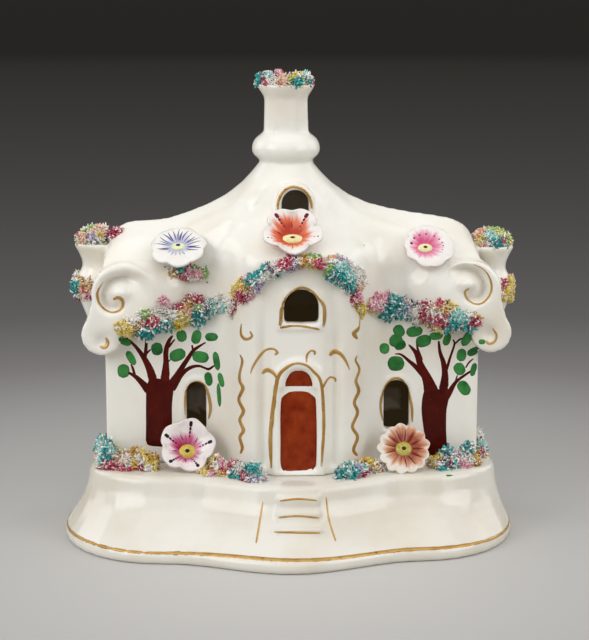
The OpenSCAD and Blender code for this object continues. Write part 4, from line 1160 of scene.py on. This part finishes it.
mark_tones = {
    "left": ("#1d0d16", "#3a1020"), "right": ("#4a1a10", "#6a2a18"), "blue": ("#333c78", "#6b2a55"),
    "coral": ("#5c1230", "#7c1c3a"), "pink": ("#5d0d35", "#7d1a48")}
for name, look in blooms.items():
    body = "base" if name in ("left", "right") else "cottage"
    heart, axis, radius, rim_out = stand_of(name)
    radius *= rim_inset
    sunk = heart + axis * (rim_out - radius * (look["cup"] - 0.04))
    stand = Matrix.Translation(sunk) @ axis.to_track_quat("Z", "Y").to_matrix().to_4x4()
    stand = stand @ Matrix.Rotation(-math.radians(look["tilt"]), 4, "X")
    bloom = cup(look, radius)
    bloom_skin = BVHTree.FromBMesh(bloom)

    def on_petals(x, y):
        return bloom_skin.ray_cast(Vector((x, y, radius)), Vector((0, 0, -1)))[:2]

    painted = bmesh.new()
    for mark in petal_marks(name, look):
        knots = []
        for a, s, w in mark:
            x = s * math.cos(math.radians(a)) + (1 - s) * look["heart_at"][0]
            y = s * math.sin(math.radians(a)) + (1 - s) * look["heart_at"][1]
            knots.append((radius * x, radius * y, w * MM))
        stroke(painted, knots, on_petals, lift=0.07, rows=6, cols=4, oval=True)
    bmesh.ops.solidify(bloom, geom=bloom.faces[:], thickness=petal_t * MM)
    core = bmesh.new()
    bmesh.ops.create_uvsphere(core, u_segments=28, v_segments=14, radius=look["centre_r"] * radius)
    squash(core, (1, 1, centre_flat), (0, 0, 0.02 * radius))
    pupil = bmesh.new()
    bmesh.ops.create_uvsphere(pupil, u_segments=14, v_segments=8, radius=pupil_r * radius)
    squash(pupil, (1, 1, 0.5), (0, 0, (centre_flat * look["centre_r"] + 0.01) * radius))
    for made in (core, pupil):
        squash(made, (1, look["squat"], 1), (*(Vector(look["heart_at"]) * radius), 0))
    for made in (bloom, painted, core, pupil):
        bmesh.ops.scale(made, vec=(look["wide"], 1, 1), verts=made.verts)
        bmesh.ops.transform(made, matrix=stand, verts=made.verts)
    mark_enamel = enamel(name + "_mark_enamel", *mark_tones[name], mark_tones[name][0], 0.18)
    piece(name + "_petals", bloom, body, [petal_finish(name, look)],
          [name + "_flower_petals"])
    piece(name + "_marks", painted, body, [mark_enamel])
    piece(name + "_centre", core, body, [centre_finish(name, *look["centre"])],
          [name + "_flower_centre"])
    piece(name + "_eye_dot", pupil, body, [mark_enamel])

# Studio.
# A pale sweep whose colour darkens into the distance all round, painted shade for the falling off of the
# light; broad soft lights in front, at the left, a little weaker at the right and overhead, two small ones
# beside the back, and a low even sky.
floor_reach = 3.0
# The floor's tones grow darker away from the middle: painted shade.
floor_tones = {0.04: "#b2b0ad", 0.083: "#827f7e", 0.12: "#6c6a69", 0.237: "#6a6865", 0.517: "#615d58",
               0.857: "#5c5852"}
sweep, sweep_tree, sweep_shader = finish("studio_sweep")
spread = node(sweep_tree, "VectorMath", {0: place_in(sweep_tree)}, operation="LENGTH").outputs["Value"]
tones = node(sweep_tree, "ValToRGB", {0: ramp(sweep_tree, spread, 0, floor_reach)})
tones.color_ramp.elements[0].color = srgb("#cfcdc9")
tones.color_ramp.elements[1].color = srgb("#4b4943")
for at, colour in floor_tones.items():
    tones.color_ramp.elements.new(at).color = srgb(colour)
plug(sweep_tree, sweep_shader, {"Base Color": tones.outputs[0], "Roughness": 0.8})
floor = bmesh.new()
bmesh.ops.create_circle(floor, cap_ends=True, segments=96, radius=floor_reach)
rim = [e for e in floor.edges if e.is_boundary]
for out, up in ((0.35, 0.1), (0.25, 0.4), (0.05, 0.8), (0.0, 1.2)):
    grown = bmesh.ops.extrude_edge_only(floor, edges=rim)["geom"]
    rim = [g for g in grown if isinstance(g, bmesh.types.BMEdge)]
    for v in {v for e in rim for v in e.verts}:
        v.co += v.co.normalized().xyz * out + Vector((0, 0, up))
sweep_obj = loose("studio_sweep", floor)
sweep_obj.data.materials.append(sweep)
sweep_obj.data.shade_smooth()


def softbox(name, place, size, watts):
    """A square soft light that looks at the cottage."""
    lamp = bpy.data.lights.new(name, "AREA")
    lamp.size = size
    lamp.energy = watts
    obj = bpy.data.objects.new(name, lamp)
    obj.visible_camera = False
    aimed(obj, place)


softbox("front", (-0.05, -0.7, 0.42), 0.6, 1.3)
softbox("key", (-0.5, -0.32, 0.36), 0.42, 1.85)
softbox("fill", (0.52, -0.32, 0.36), 0.42, 1.6)
softbox("top", (0.0, -0.08, 0.5), 0.5, 0.6)
for side in (-1, 1):
    softbox("side", (0.42 * side, 0.14, 0.24), 0.3, 0.45)
sky = bpy.data.worlds.new("sky")
sky.use_nodes = True
plug(sky.node_tree, sky.node_tree.nodes["Background"], {"Color": srgb("#ffffff"), "Strength": 0.39})
bpy.context.scene.world = sky
bpy.context.scene.view_settings.view_transform = "Standard"
